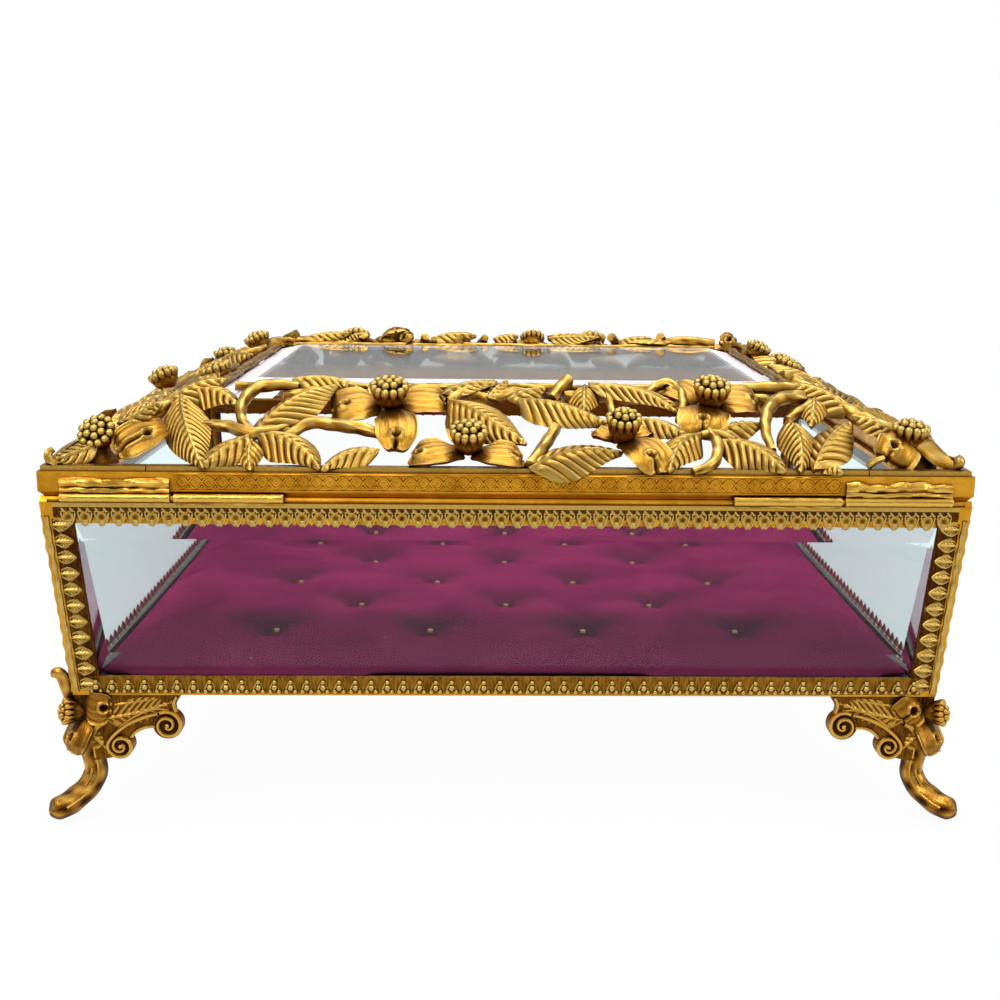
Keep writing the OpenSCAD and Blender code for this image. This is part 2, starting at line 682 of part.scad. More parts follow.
module hinge_pin(side) {
    pin_len = 2 * knuckle_len - 1;
    color(dark_gold) translate([side * hinge_x - pin_len / 2, axis_y, joint_z])
        rotate([0, 90, 0]) cylinder(h = pin_len, r = pin_r, $fn = 24);
}

// ---------- the box ----------

bottom_plate();
bottom_rail(0);  // bottom_rail_back
bottom_rail(180);  // bottom_rail_front
bottom_rail(270);  // bottom_rail_left
bottom_rail(90);  // bottom_rail_right
corner_post(-1, -1);  // corner_post_back_left
corner_post(1, -1);  // corner_post_back_right
corner_post(-1, 1);  // corner_post_front_left
corner_post(1, 1);  // corner_post_front_right
top_rail(0);  // top_rail_back
top_rail(180);  // top_rail_front
top_rail(270);  // top_rail_left
top_rail(90);  // top_rail_right
gallery(0);  // gallery_back
gallery(180);  // gallery_front
gallery(270);  // gallery_left
gallery(90);  // gallery_right
glass_pane(0);  // glass_back
glass_pane(180);  // glass_front
glass_pane(270);  // glass_left
glass_pane(90);  // glass_right
cushion_board();
velvet_cushion();
tuft_stitches();
foot(-1, -1, true);  // foot_back_left
foot(1, -1, false);  // foot_back_right
foot(-1, 1, false);  // foot_front_left
foot(1, 1, true);  // foot_front_right
hinge_tube_base(-1);  // hinge_tube_base_left
hinge_tube_base(1);  // hinge_tube_base_right
hinge_pin(-1);  // hinge_pin_left
hinge_pin(1);  // hinge_pin_right
lid_rim(0);  // lid_rim_back
lid_rim(180);  // lid_rim_front
lid_rim(270);  // lid_rim_left
lid_rim(90);  // lid_rim_right
hinge_tube_lid(-1);  // hinge_tube_lid_left
hinge_tube_lid(1);  // hinge_tube_lid_right
filigree(0);  // filigree_back
filigree(180);  // filigree_front
filigree(270);  // filigree_left
filigree(90);  // filigree_right
corner_flower(-1, -1);  // corner_flower_back_left
corner_flower(1, -1);  // corner_flower_back_right
corner_flower(-1, 1);  // corner_flower_front_left
corner_flower(1, 1);  // corner_flower_front_right
lid_glass();
glass_tabs();
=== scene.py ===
"""Glass casket box: gilt castings, bevelled glass and a tufted cushion round the CAD frame."""

import logging
import math
from dataclasses import dataclass, field
from enum import Enum
from typing import Callable, Sequence

import bpy
import numpy as np
from bpy.types import Material, Node, NodeSocket, NodeTree, Object
from mathutils import Matrix, Vector


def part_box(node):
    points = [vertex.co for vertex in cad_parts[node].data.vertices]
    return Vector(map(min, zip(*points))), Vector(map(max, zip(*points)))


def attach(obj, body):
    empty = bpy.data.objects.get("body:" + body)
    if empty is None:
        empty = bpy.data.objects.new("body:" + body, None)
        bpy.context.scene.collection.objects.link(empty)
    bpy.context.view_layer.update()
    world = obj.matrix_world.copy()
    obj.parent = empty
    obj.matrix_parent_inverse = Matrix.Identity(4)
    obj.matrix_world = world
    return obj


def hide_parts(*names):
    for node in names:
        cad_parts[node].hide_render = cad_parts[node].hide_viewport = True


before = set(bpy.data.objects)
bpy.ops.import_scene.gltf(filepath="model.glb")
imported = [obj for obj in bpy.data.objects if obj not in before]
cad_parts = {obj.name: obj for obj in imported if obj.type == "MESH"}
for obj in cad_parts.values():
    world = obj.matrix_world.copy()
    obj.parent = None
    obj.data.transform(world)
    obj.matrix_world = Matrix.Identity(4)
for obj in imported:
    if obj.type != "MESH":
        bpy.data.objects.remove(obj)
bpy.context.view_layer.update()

MM = 0.001
LOG = logging.getLogger("casket")
Array = np.ndarray
Place = Callable[[Array], Array]
Point = Sequence[float]


class Body(Enum):
    """The two bodies of the box."""

    BASE = "base"
    LID = "lid"


class Side(Enum):
    """A side of the box, valued by its turn from the back."""

    BACK = 0
    RIGHT = 90
    FRONT = 180
    LEFT = 270

    def label(self) -> str:
        """Return the side's name as the pieces use it."""
        return self.name.lower()

    def runs_along_x(self) -> bool:
        """Return True for the two long sides."""
        return self.value % 180 == 0


class Corner(Enum):
    """A corner of the box, valued by the signs of x and y."""

    BACK_LEFT = (-1, -1)
    BACK_RIGHT = (1, -1)
    FRONT_LEFT = (-1, 1)
    FRONT_RIGHT = (1, 1)

    def label(self) -> str:
        """Return the corner's name as the pieces use it."""
        return self.name.lower()


@dataclass(frozen=True)
class CaseSizes:
    """Sizes that the sub-assemblies share, in millimetres, as in the part's source."""

    case_w: float = 254.0
    case_d: float = 202.0
    base_h: float = 58.0
    wall_lean: float = 4.5
    foot_h: float = 36.0
    rim_top: float = 101.0
    slope_rise: float = 17.2
    slope_run: float = 40.5
    seat_inset: float = 1.5      # from the case's side to the foot of the slope
    border_inset: float = 0.8    # from the case's side to the castings' flat border
    border_w: float = 3.4
    border_t: float = 1.4
    corner_reach: float = 29.0   # how far a corner's flower reaches along the rim
    corner_gap: float = 0.15     # from there to the border's end, each way

    @property
    def joint_z(self) -> float:
        """Height of the joint between lid and base."""
        return self.foot_h + self.base_h

    @property
    def slope(self) -> float:
        """Angle of the lid's slopes, in radians."""
        return math.atan2(self.slope_rise, self.slope_run)

    @property
    def lean(self) -> float:
        """Angle of the walls, in radians from upright."""
        return math.atan2(self.wall_lean, self.base_h)

    def lean_at(self, z: float) -> float:
        """Return how far the walls have moved in at height z."""
        return self.wall_lean * (self.joint_z - z) / self.base_h

    def half(self, side: Side) -> tuple[float, float]:
        """Return half the length of a side, and its distance from the middle."""
        halves = (self.case_w / 2, self.case_d / 2)
        return halves if side.runs_along_x() else halves[::-1]


CASE = CaseSizes()


# ---- placing

def turned(points: Array, degrees: float) -> Array:
    """Turn points about the vertical axis.

    Args:
        points: Rows of x, y, z, or more axes before the last.
        degrees: Angle, counter-clockwise from above.

    Returns:
        The turned points.
    """
    angle = math.radians(degrees)
    c, s = round(math.cos(angle), 12), round(math.sin(angle), 12)
    return points @ np.array([[c, s, 0.0], [-s, c, 0.0], [0.0, 0.0, 1.0]])


def on_slope(side: Side) -> Place:
    """Return the placing of a lid slope: along it, up it, and above it."""
    _, away = CASE.half(side)
    c, s = math.cos(CASE.slope), math.sin(CASE.slope)
    foot = CASE.rim_top + 0.2

    def place(p: Array) -> Array:
        """Place slope coordinates in the frame."""
        along, up, above = p[..., 0], p[..., 1], p[..., 2]
        y = -away + CASE.seat_inset + up * c - above * s
        return turned(np.stack([along, y, foot + up * s + above * c], -1), side.value)

    return place


def on_wall(side: Side) -> Place:
    """Return the placing of a leaning wall: along it, up it, and outward from its face."""
    _, away = CASE.half(side)
    c, s = math.cos(CASE.lean), math.sin(CASE.lean)

    def place(p: Array) -> Array:
        """Place wall coordinates in the frame."""
        x, up, out = p[..., 0], p[..., 1], p[..., 2]
        y = -away + CASE.wall_lean - up * s - out * c
        z = CASE.foot_h + up * c - out * s
        return turned(np.stack([x, y, z], -1), side.value)

    return place


def at_corner(corner: Corner, inset: float) -> Place:
    """Return the placing of a corner: inward along x, inward along y, and up from the table."""
    sx, sy = corner.value

    def place(p: Array) -> Array:
        """Place corner coordinates in the frame."""
        x = sx * (CASE.case_w / 2 - inset - p[..., 0])
        y = sy * (CASE.case_d / 2 - inset - p[..., 1])
        return np.stack([x, y, p[..., 2]], -1)

    return place


def smoothstep(x: Array, low: float = 0.0, high: float = 1.0) -> Array:
    """Return a smooth step from 0 at low to 1 at high."""
    t = np.clip((x - low) / (high - low), 0.0, 1.0)
    return t * t * (3 - 2 * t)


def unit(v: Array) -> Array:
    """Return vectors scaled to length one."""
    return v / np.maximum(np.linalg.norm(v, axis=-1, keepdims=True), 1e-9)


def ring_axes(axis: Point) -> tuple[Array, Array, Array]:
    """Return an axis as a unit vector, and two directions square to it and to each other."""
    way = unit(np.array(axis, float))
    first = unit(np.cross(way, (0.36, 0.48, 0.8) if abs(way[2]) < 0.9 else (1, 0, 0)))
    return way, first, np.cross(way, first)


def swapped(points: Sequence[Point], swap: bool) -> list[Point]:
    """Return points with x and y changed over where swap is True, for a corner's other wall."""
    return [(y, x, *rest) if swap else (x, y, *rest) for x, y, *rest in points]


def spline(points: Sequence[Point], steps: int) -> Array:
    """Return a smooth curve through points.

    Args:
        points: Rows of any width; every column is carried along the curve.
        steps: Samples for each stretch between two points.

    Returns:
        The samples, one row each.
    """
    p = np.array(points, float)
    p = np.vstack([2 * p[0] - p[1], p, 2 * p[-1] - p[-2]])
    rows = []
    for i in range(1, len(p) - 2):
        t = np.linspace(0, 1, steps, endpoint=False)[:, None]
        rows.append(0.5 * (2 * p[i] + (p[i + 1] - p[i - 1]) * t
                           + (2 * p[i - 1] - 5 * p[i] + 4 * p[i + 1] - p[i + 2]) * t ** 2
                           + (3 * p[i] - p[i - 1] - 3 * p[i + 1] + p[i + 2]) * t ** 3))
    rows.append(p[-2][None])
    return np.vstack(rows)


# ---- meshes

def linked(name: str, data: bpy.types.ID) -> Object:
    """Return a new object in the scene."""
    made = bpy.data.objects.new(name, data)
    bpy.context.scene.collection.objects.link(made)
    return made


@dataclass
class Relief:
    """Closed cast surfaces gathered into one mesh.

    Every point keeps how proud it stands, 0 in a hollow to 1 on a ridge, and its
    place in the grain, in millimetres across and along.
    """

    points: list[Array] = field(default_factory=list)
    faces: list[Array] = field(default_factory=list)
    proud: list[Array] = field(default_factory=list)
    grain: list[Array] = field(default_factory=list)
    count: int = 0

    def add(self, points: Array, faces: Sequence[Array], proud: Array,
            grain: Array) -> None:
        """Add one closed surface and turn its faces outward.

        Args:
            points: Rows of x, y, z in the frame, in millimetres.
            faces: Arrays of rows of point numbers, each array of one width.
            proud: How proud each point stands.
            grain: Place of each point in the grain.
        """
        volume = 0.0
        for rows in faces:
            for k in range(1, rows.shape[1] - 1):
                a, b, c = points[rows[:, 0]], points[rows[:, k]], points[rows[:, k + 1]]
                volume += float(np.einsum("ij,ij->i", a, np.cross(b, c)).sum())
        for rows in faces:
            self.faces.append((rows if volume > 0 else rows[:, ::-1]) + self.count)
        self.points.append(points)
        self.proud.append(np.broadcast_to(proud, len(points)))
        self.grain.append(grain)
        self.count += len(points)

    def loft(self, rows: Array, proud: Array, grain: Array) -> None:
        """Add a closed skin over rows of closed loops.

        Args:
            rows: Loops in the frame: loop, point in the loop, and x, y, z.
            proud: How proud each point stands.
            grain: Place of each point in the grain.
        """
        n, m, _ = rows.shape
        start = np.arange(n - 1)[:, None] * m
        here, after = np.arange(m), (np.arange(m) + 1) % m
        quads = np.stack([start + here, start + after, start + m + after, start + m + here], -1)
        caps = [np.stack([np.full(m, n * m), after, here], -1),
                np.stack([np.full(m, n * m + 1), (n - 1) * m + here, (n - 1) * m + after], -1)]
        points = np.vstack([rows.reshape(-1, 3), rows[0].mean(0), rows[-1].mean(0)])
        proud = np.broadcast_to(proud, (n, m))
        proud = np.append(proud.ravel(), [proud[0].mean(), proud[-1].mean()])
        grain = np.vstack([grain.reshape(-1, 3), grain[0].mean(0), grain[-1].mean(0)])
        self.add(points, [quads.reshape(-1, 4), *caps], proud, grain)

    def build(self, name: str, sharp_above: float = 55.0) -> Object:
        """Make the mesh object.

        Args:
            name: Name of the piece.
            sharp_above: Angle in degrees above which an edge stays sharp.

        Returns:
            The object, at the frame's origin and in metres.
        """
        points = np.vstack(self.points) * MM
        sizes = np.concatenate([np.full(len(f), f.shape[1]) for f in self.faces])
        mesh = bpy.data.meshes.new(name)
        mesh.vertices.add(len(points))
        mesh.vertices.foreach_set("co", points.astype(np.float32).ravel())
        corners = np.concatenate([f.ravel() for f in self.faces])
        mesh.loops.add(len(corners))
        mesh.loops.foreach_set("vertex_index", corners.astype(np.int32))
        mesh.polygons.add(len(sizes))
        mesh.polygons.foreach_set("loop_start", (np.cumsum(sizes) - sizes).astype(np.int32))
        mesh.update(calc_edges=True)
        mesh.validate()
        mesh.polygons.foreach_set("use_smooth", np.ones(len(mesh.polygons), bool))
        mesh.set_sharp_from_angle(angle=math.radians(sharp_above))
        layer = mesh.attributes.new("proud", "FLOAT", "POINT")
        layer.data.foreach_set("value", np.concatenate(self.proud).astype(np.float32))
        layer = mesh.attributes.new("grain", "FLOAT_VECTOR", "POINT")
        layer.data.foreach_set("vector", np.vstack(self.grain).astype(np.float32).ravel())
        return linked(name, mesh)


# ---- cast shapes

@dataclass
class Foundry:
    """Models the cast shapes and adds them to one casting."""

    cast: Relief
    place: Place
    up: tuple[float, float, float] = (0.0, 0.0, 1.0)

    def facing(self, x: float, y: float, z: float) -> "Foundry":
        """Return a foundry for the same casting whose shapes face another way."""
        return Foundry(self.cast, self.place, (x, y, z))

    def _blade_frame(self, base: Point, tip: Point, s: Array, bend: float, lift: float,
                     tilt: float) -> tuple[Array, Array, Array]:
        """Return the midrib's points, and their sideways and upward directions."""
        start, end = np.array(base, float), np.array(tip, float)
        chord = end - start
        along = unit(chord)
        across = unit(np.cross(self.up, along))
        above = np.cross(along, across)
        arc = (4 * s * (1 - s))[..., None]
        middle = start + chord * s[..., None] + (across * bend + above * lift) * arc
        slope = (4 - 8 * s)[..., None] * (across * bend + above * lift) + chord
        sideways = unit(np.cross(np.broadcast_to(above, slope.shape), slope))
        upward = unit(np.cross(slope, sideways))
        c, w = math.cos(math.radians(tilt)), math.sin(math.radians(tilt))
        return middle, sideways * c + upward * w, upward * c - sideways * w

    @staticmethod
    def _section(top: Sequence[float], under: Sequence[float]) -> tuple[Array, Array]:
        """Return places round a blade, from -1 to 1 and back below, and which are on top."""
        return (np.concatenate([top, under])[None, :],
                (np.arange(len(top) + len(under)) < len(top))[None, :])

    def leaf(self, base: Point, tip: Point, width: float, lift: float = 1.4, bend: float = 0.0,
             tilt: float = 0.0, arch: float = 0.33, curl: float = 0.0, rib_mm: float = 2.9,
             high: float = 0.8) -> None:
        """Add a pinnate leaf with a raised midrib and slanting ribs.

        Args:
            base: Foot of the midrib.
            tip: Point of the leaf.
            width: Greatest width.
            lift: How far the midrib bows up.
            bend: How far it bows sideways.
            tilt: Turn about the midrib, in degrees.
            arch: How much the halves fall away from the midrib, as a share of the width.
            curl: How far the edges roll up again.
            rib_mm: Distance between two ribs along the midrib.
            high: Height of the ribs over the grooves.
        """
        length = float(np.linalg.norm(np.subtract(tip, base)))
        ribs = max(5, round(length / rib_mm))
        t, is_top = self._section([-1, -.93, -.8, -.66, -.52, -.38, -.25, -.14, -.06, 0, .06, .14,
                                   .25, .38, .52, .66, .8, .93, 1], [.8, .4, 0, -.4, -.8])
        sigma = np.linspace(0, 1, ribs * 6 + 1)[:, None]
        shear = min(0.8, 1.95 * width / length)
        s = sigma + shear * np.abs(t) ** 1.15 * np.sqrt(sigma) * (1 - sigma) ** 1.15
        middle, sideways, upward = self._blade_frame(base, tip, s, bend, lift, tilt)
        # widest at two fifths of the length, where the curve reaches 0.316, with a drawn-out point
        half = 0.5 * width * s ** 0.7 * (1.0001 - s) / 0.316 + 0.3
        rib = np.abs(np.sin(math.pi * ribs * sigma)) ** 0.75
        seed = base[0] * 0.37 + base[1] * 0.61
        half = half * (1 + 0.025 * (rib - 0.6) * np.abs(t) ** 4)
        y = t * half
        fall = -arch * half * 2 * np.abs(t) ** 1.6
        wave = 0.05 * width * np.sin(5.2 * s + seed) * np.abs(t) ** 2 * np.sign(t)
        rolled = curl * smoothstep(np.abs(t), 0.5, 1.0)
        body = smoothstep(np.abs(t), 0.02, 0.16) * (1 - 0.5 * smoothstep(np.abs(t), 0.86, 1.0))
        fade = smoothstep(sigma, 0.0, 0.08) * (1 - smoothstep(sigma, 0.93, 1.0))
        ribs_high = high * min(1.0, width / 10) * (rib - 0.62) * body * fade
        midrib = (0.42 * np.exp(-(y / 0.4) ** 2) - 0.34 * np.exp(-((np.abs(y) - 0.85) / 0.34) ** 2)
                  ) * (1 - 0.6 * s)
        shell = np.where(is_top, ribs_high + midrib, -1.0 - 0.45 * (1 - np.abs(t)))
        z = fall + wave + rolled + shell
        pts = middle + sideways * y[..., None] + upward * z[..., None]
        tall = np.clip(0.18 + 0.66 * rib * body + 0.75 * np.exp(-(y / 0.45) ** 2)
                       + 0.3 * smoothstep(np.abs(t), 0.85, 1.0) * rib, 0, 1)
        grain = np.stack([sigma * length + 0 * t, np.abs(y) + 0 * sigma,
                          np.full(s.shape, seed)], -1)
        self.cast.loft(self.place(pts), np.where(is_top, tall, 0.1), grain)

    def petal(self, base: Point, tip: Point, width: float, lift: float = 1.0, bend: float = 0.0,
              tilt: float = 0.0, cup: float = -0.06, pit: float = 0.62, side: float = 0.0,
              roll: float = 0.5) -> None:
        """Add a broad smooth bract with a rolled edge and a rimmed eye with a crease from it.

        Args:
            base: Foot of the petal, under the berry.
            tip: Its outer end.
            width: Greatest width.
            lift: How far it bows up.
            bend: How far it bows sideways.
            tilt: Turn about its length, in degrees.
            cup: Rise of the edges, as a share of the width.
            pit: Place of the eye along the petal, from 0 to 1; less than 0 leaves it out.
            side: Place of the eye across the petal, from -1 to 1.
            roll: How far the edge rolls up.
        """
        top = np.linspace(-1, 1, 33)
        t, is_top = self._section(0.5 * np.sin(top * math.pi / 2) + 0.5 * top,
                                  [.85, .5, 0, -.5, -.85])
        steps = np.linspace(0, 1, 31)
        s = (0.72 * steps + 0.28 * np.sin(steps * math.pi / 2))[:, None] + 0 * t
        middle, sideways, upward = self._blade_frame(base, tip, s, bend, lift, tilt)
        length = float(np.linalg.norm(np.subtract(tip, base)))
        opened = 0.58 + 0.42 * smoothstep(s, 0.0, 0.4)
        rounded = np.sqrt(np.clip(1 - (np.clip(s - 0.6, 0, 1) / 0.402) ** 2.5, 0.012, 1))
        half = 0.5 * width * opened * rounded
        y = t * half
        seed = base[0] * 0.53 + tip[1] * 0.31
        eye = side * 0.5 * width
        notch = -0.07 * length * np.exp(-((y - eye) / (0.1 * width)) ** 2) * smoothstep(s, .75, 1)
        crown = cup * width * np.abs(t) ** 2
        edge = smoothstep(np.abs(t), 0.78, 1.0) + smoothstep(s, 0.9, 1.0)
        rolled = roll * np.minimum(edge, 1.0) * smoothstep(s, 0.1, 0.4)
        fan = 4.5 * t + 0.8 * np.sin(3.1 * s + seed)
        fold = 0.08 * np.cos(math.pi * fan) * smoothstep(s, 0.0, 0.3) * (1 - smoothstep(s, .7, 1))
        fine = 0.03 * np.cos(3.5 * math.pi * fan)
        crease = lips = bowl = rim = 0.0 * s
        if pit >= 0:
            after = smoothstep(s, pit, pit + 0.12)
            crease = -0.55 * np.exp(-((y - eye) / 0.36) ** 2) * after
            lips = 0.34 * np.exp(-((np.abs(y - eye) - 1.0) / 0.5) ** 2) * after
            away = np.hypot((s - pit) * length, y - eye)
            bowl = -1.5 * np.exp(-(away / 0.85) ** 2)
            rim = np.exp(-((away - 1.6) / 0.5) ** 2)
        droop = -0.13 * width * smoothstep(s, 0.7, 1.0) ** 1.5 * (1 - 0.4 * np.abs(t))
        shell = np.where(is_top, fold + fine + crease + lips + bowl + 0.6 * rim + rolled,
                         -1.1 - 0.3 * (1 - np.abs(t)) + 0.6 * rolled)
        z = crown + droop + shell
        pts = middle + sideways * y[..., None] + upward * z[..., None] + (
            unit(np.subtract(tip, base))[None, None] * notch[..., None])
        tall = np.clip(0.44 + 1.1 * fold + 1.4 * fine + 0.9 * crease + 0.5 * lips
                       + 0.55 * bowl + 0.45 * rim + 0.55 * rolled
                       - 0.3 * (1 - smoothstep(s, 0.0, 0.25)), 0, 1)
        grain = np.stack([t * 0.5 * width + 0 * s, s * length + 0 * t, np.full(s.shape, seed)], -1)
        self.cast.loft(self.place(pts), np.where(is_top, tall, 0.1), grain)

    def lathe(self, origin: Point, axis: Point, profile: Sequence[tuple[float, float, float]],
              sides: int, dent: float = 0.0) -> None:
        """Add a turned shape.

        Args:
            origin: Where the axis starts.
            axis: Its direction.
            profile: Radius, distance along the axis and how proud, for each ring.
            sides: Points round each ring.
            dent: Unevenness of the rings, as a share of the radius.
        """
        way, first, second = ring_axes(axis)
        turn = np.arange(sides) * 2 * math.pi / sides
        ring = np.cos(turn)[:, None] * first + np.sin(turn)[:, None] * second
        rows, proud, grain = [], [], []
        for radius, along, tall in profile:
            uneven = radius * (1 + dent * np.sin(turn * 3 + along * 2.1 + origin[0]))
            rows.append(np.array(origin, float) + way * along + ring * uneven[:, None])
            proud.append(np.full(sides, tall))
            grain.append(np.stack([turn * radius, np.full(sides, along),
                                   np.full(sides, origin[0])], -1))
        self.cast.loft(self.place(np.array(rows)), np.array(proud), np.array(grain))

    def bead(self, at: Point, radius: float, proud: float = 1.0, sides: int = 8) -> None:
        """Add a round bead that faces the way the shapes face."""
        r = radius
        self.lathe(np.array(at, float) - np.array(self.up) * 0.6 * r, self.up,
                   [(0.8 * r, 0, 0.1), (r, 0.55 * r, 0.55 * proud), (0.85 * r, 1.1 * r, proud),
                    (0.45 * r, 1.5 * r, proud)], sides)

    def berry(self, foot: Point, radius: float, height: float, axis: Point = (0, 0, 1)) -> None:
        """Add a bundle of upright round-headed pegs round a dark core.

        Args:
            foot: Where the bundle stands.
            radius: Radius over the pegs.
            height: From the foot to the top of the middle peg.
            axis: Direction it stands in.
        """
        up, first, second = ring_axes(axis)
        r = radius
        self.lathe(foot, up, [(0.45 * r, 0, 0.2), (0.8 * r, 0.28 * height, 0.3),
                              (0.84 * r, 0.45 * height, 0.1), (0.7 * r, 0.58 * height, 0),
                              (0.4 * r, 0.68 * height, 0), (0.1 * r, 0.72 * height, 0)], 14)
        head = 0.215 * r
        for count, out, reach, splay in ((1, 0, 1.0, 0), (6, 0.41, 0.96, 0.05),
                                         (12, 0.8, 0.84, 0.09)):
            for i in range(count):
                turn = 2 * math.pi * (i + 0.35 * (count > 6)) / count + 0.5 * foot[0]
                jog = 1 + 0.04 * math.sin(7.3 * i + foot[0])
                side = first * math.cos(turn) + second * math.sin(turn)
                lean = unit(up + side * splay)
                start = np.array(foot, float) + up * height * 0.4 + side * (
                    (out - 0.5 * splay) * r * jog)
                long = height * (reach - 0.4) * (1 + 0.03 * math.sin(5.1 * i + foot[1]))
                self.lathe(start, lean, [
                    (0.45 * head, 0, 0.1), (0.68 * head, 0.3 * long, 0.25),
                    (0.74 * head, long - 2.3 * head, 0.42), (1.0 * head, long - 1.5 * head, 0.7),
                    (1.06 * head, long - 0.9 * head, 0.95), (0.84 * head, long - 0.3 * head, 1.0),
                    (0.4 * head, long, 1.0)], 9)

    def twig(self, places: Sequence[Point], sides: int = 12, bark: float = 0.07,
             steps: int = 7, flat: float = 1.0, proud: float = 0.5) -> None:
        """Add a twig or a strap with barky ridges and flat cut ends.

        Args:
            places: Rows of x, y, z and radius that the twig passes.
            sides: Points round it.
            bark: Height of the ridges, as a share of the radius.
            steps: Rings for each stretch.
            flat: Thickness as a share of the width.
            proud: How proud its middle stands.
        """
        curve = spline(places, steps)
        path, radius = curve[:, :3], np.maximum(curve[:, 3], 0.05)
        along = unit(np.gradient(path, axis=0))
        first = unit(np.cross(along, self.up) + 1e-6)
        second = np.cross(first, along)
        turn = np.arange(sides) * 2 * math.pi / sides
        run = np.concatenate([[0], np.cumsum(np.linalg.norm(np.diff(path, axis=0), axis=1))])
        seed = places[0][0] * 0.7 + places[0][1] * 0.3
        ridge = (np.cos(4 * turn[None] + 0.25 * run[:, None] + seed)
                 + 0.7 * np.cos(7 * turn[None] - 0.4 * run[:, None])
                 + 0.9 * np.sin(1.1 * run[:, None] + 2 * np.sin(turn[None] + seed)))
        uneven = radius[:, None] * (1 + bark * ridge)
        rows = (path[:, None] + np.cos(turn)[None, :, None] * first[:, None] * uneven[..., None]
                + np.sin(turn)[None, :, None] * second[:, None] * uneven[..., None] * flat)
        tall = np.clip(proud + (0.22 if bark else 0.0) * ridge + 0.25 * np.sin(turn)[None], 0, 1)
        grain = np.stack([turn[None] * radius[:, None], run[:, None] + 0 * turn[None],
                          np.full(ridge.shape, seed)], -1)
        self.cast.loft(self.place(rows), tall, grain)

    def line(self, places: Sequence[Point], proud: float = 0.9, sides: int = 6,
             steps: int = 5) -> None:
        """Add a thin smooth ridge along a curve."""
        self.twig(places, sides=sides, bark=0.0, steps=steps, proud=proud)

    def bar(self, low: Point, high: Point, proud: float = 0.4) -> None:
        """Add a plain block between two corners."""
        (x0, y0, z0), (x1, y1, z1) = low, high
        loop = np.array([[x0, y0], [x1, y0], [x1, y1], [x0, y1]], float)
        rows = np.array([np.column_stack([loop, np.full(4, z)]) for z in (z0, z1)])
        self.cast.loft(self.place(rows), np.full((2, 4), proud), rows)

    def plate(self, outline: Array, back: float, front: float, proud: float = 0.3) -> None:
        """Add a flat plate.

        Args:
            outline: Its outline, as rows of the first two coordinates.
            back: Third coordinate of its back.
            front: Third coordinate of its front.
            proud: How proud its front stands.
        """
        n = len(outline)
        rows = np.array([np.column_stack([outline, np.full(n, z)]) for z in (back, front)])
        points = self.place(rows).reshape(-1, 3)
        here, after = np.arange(n), (np.arange(n) + 1) % n
        walls = np.stack([here, after, n + after, n + here], -1)
        self.cast.add(points, [walls, here[None, ::-1], n + here[None]],
                      np.repeat([0.1, proud], n), rows.reshape(-1, 3))


# ---- finishes

def linear(code: str) -> tuple[float, float, float, float]:
    """Return an sRGB hex colour such as "#c8962e" as linear red, green, blue and alpha."""
    parts = [int(code[i:i + 2], 16) / 255 for i in (1, 3, 5)]
    return (*(p / 12.92 if p <= 0.04045 else ((p + 0.055) / 1.055) ** 2.4 for p in parts), 1.0)


def node(tree: NodeTree, kind: str, inputs: dict | None = None, **settings: str | int) -> Node:
    """Add a shader node with its settings and links.

    Args:
        tree: The material's or world's tree.
        kind: Blender's name of the node, without "ShaderNode".
        inputs: For its inputs, by name or number: a value, an output socket, or a node,
            which gives the first of its outputs that is in use.
        settings: Properties to set.

    Returns:
        The node.
    """
    made = tree.nodes.new(f"ShaderNode{kind}")
    for key, value in settings.items():
        setattr(made, key, value)
    for key, value in (inputs or {}).items():
        if isinstance(value, Node):
            value = next(output for output in value.outputs if output.enabled)
        if isinstance(value, NodeSocket):
            tree.links.new(value, made.inputs[key])
        else:
            made.inputs[key].default_value = value
    return made


@dataclass(frozen=True)
class Finish:
    """A finish that is worked out from the place on the piece, with no picture."""

    name: str

    def skin(self, tree: NodeTree) -> Node:
        """Add the finish's nodes.

        Args:
            tree: The material's tree.

        Returns:
            The node that shades the surface.
        """
        raise NotImplementedError

    def material(self) -> Material:
        """Return the material."""
        made = bpy.data.materials.new(self.name)
        made.use_nodes = True
        tree = made.node_tree
        tree.nodes.clear()
        node(tree, "OutputMaterial", {"Surface": self.skin(tree)})
        return made


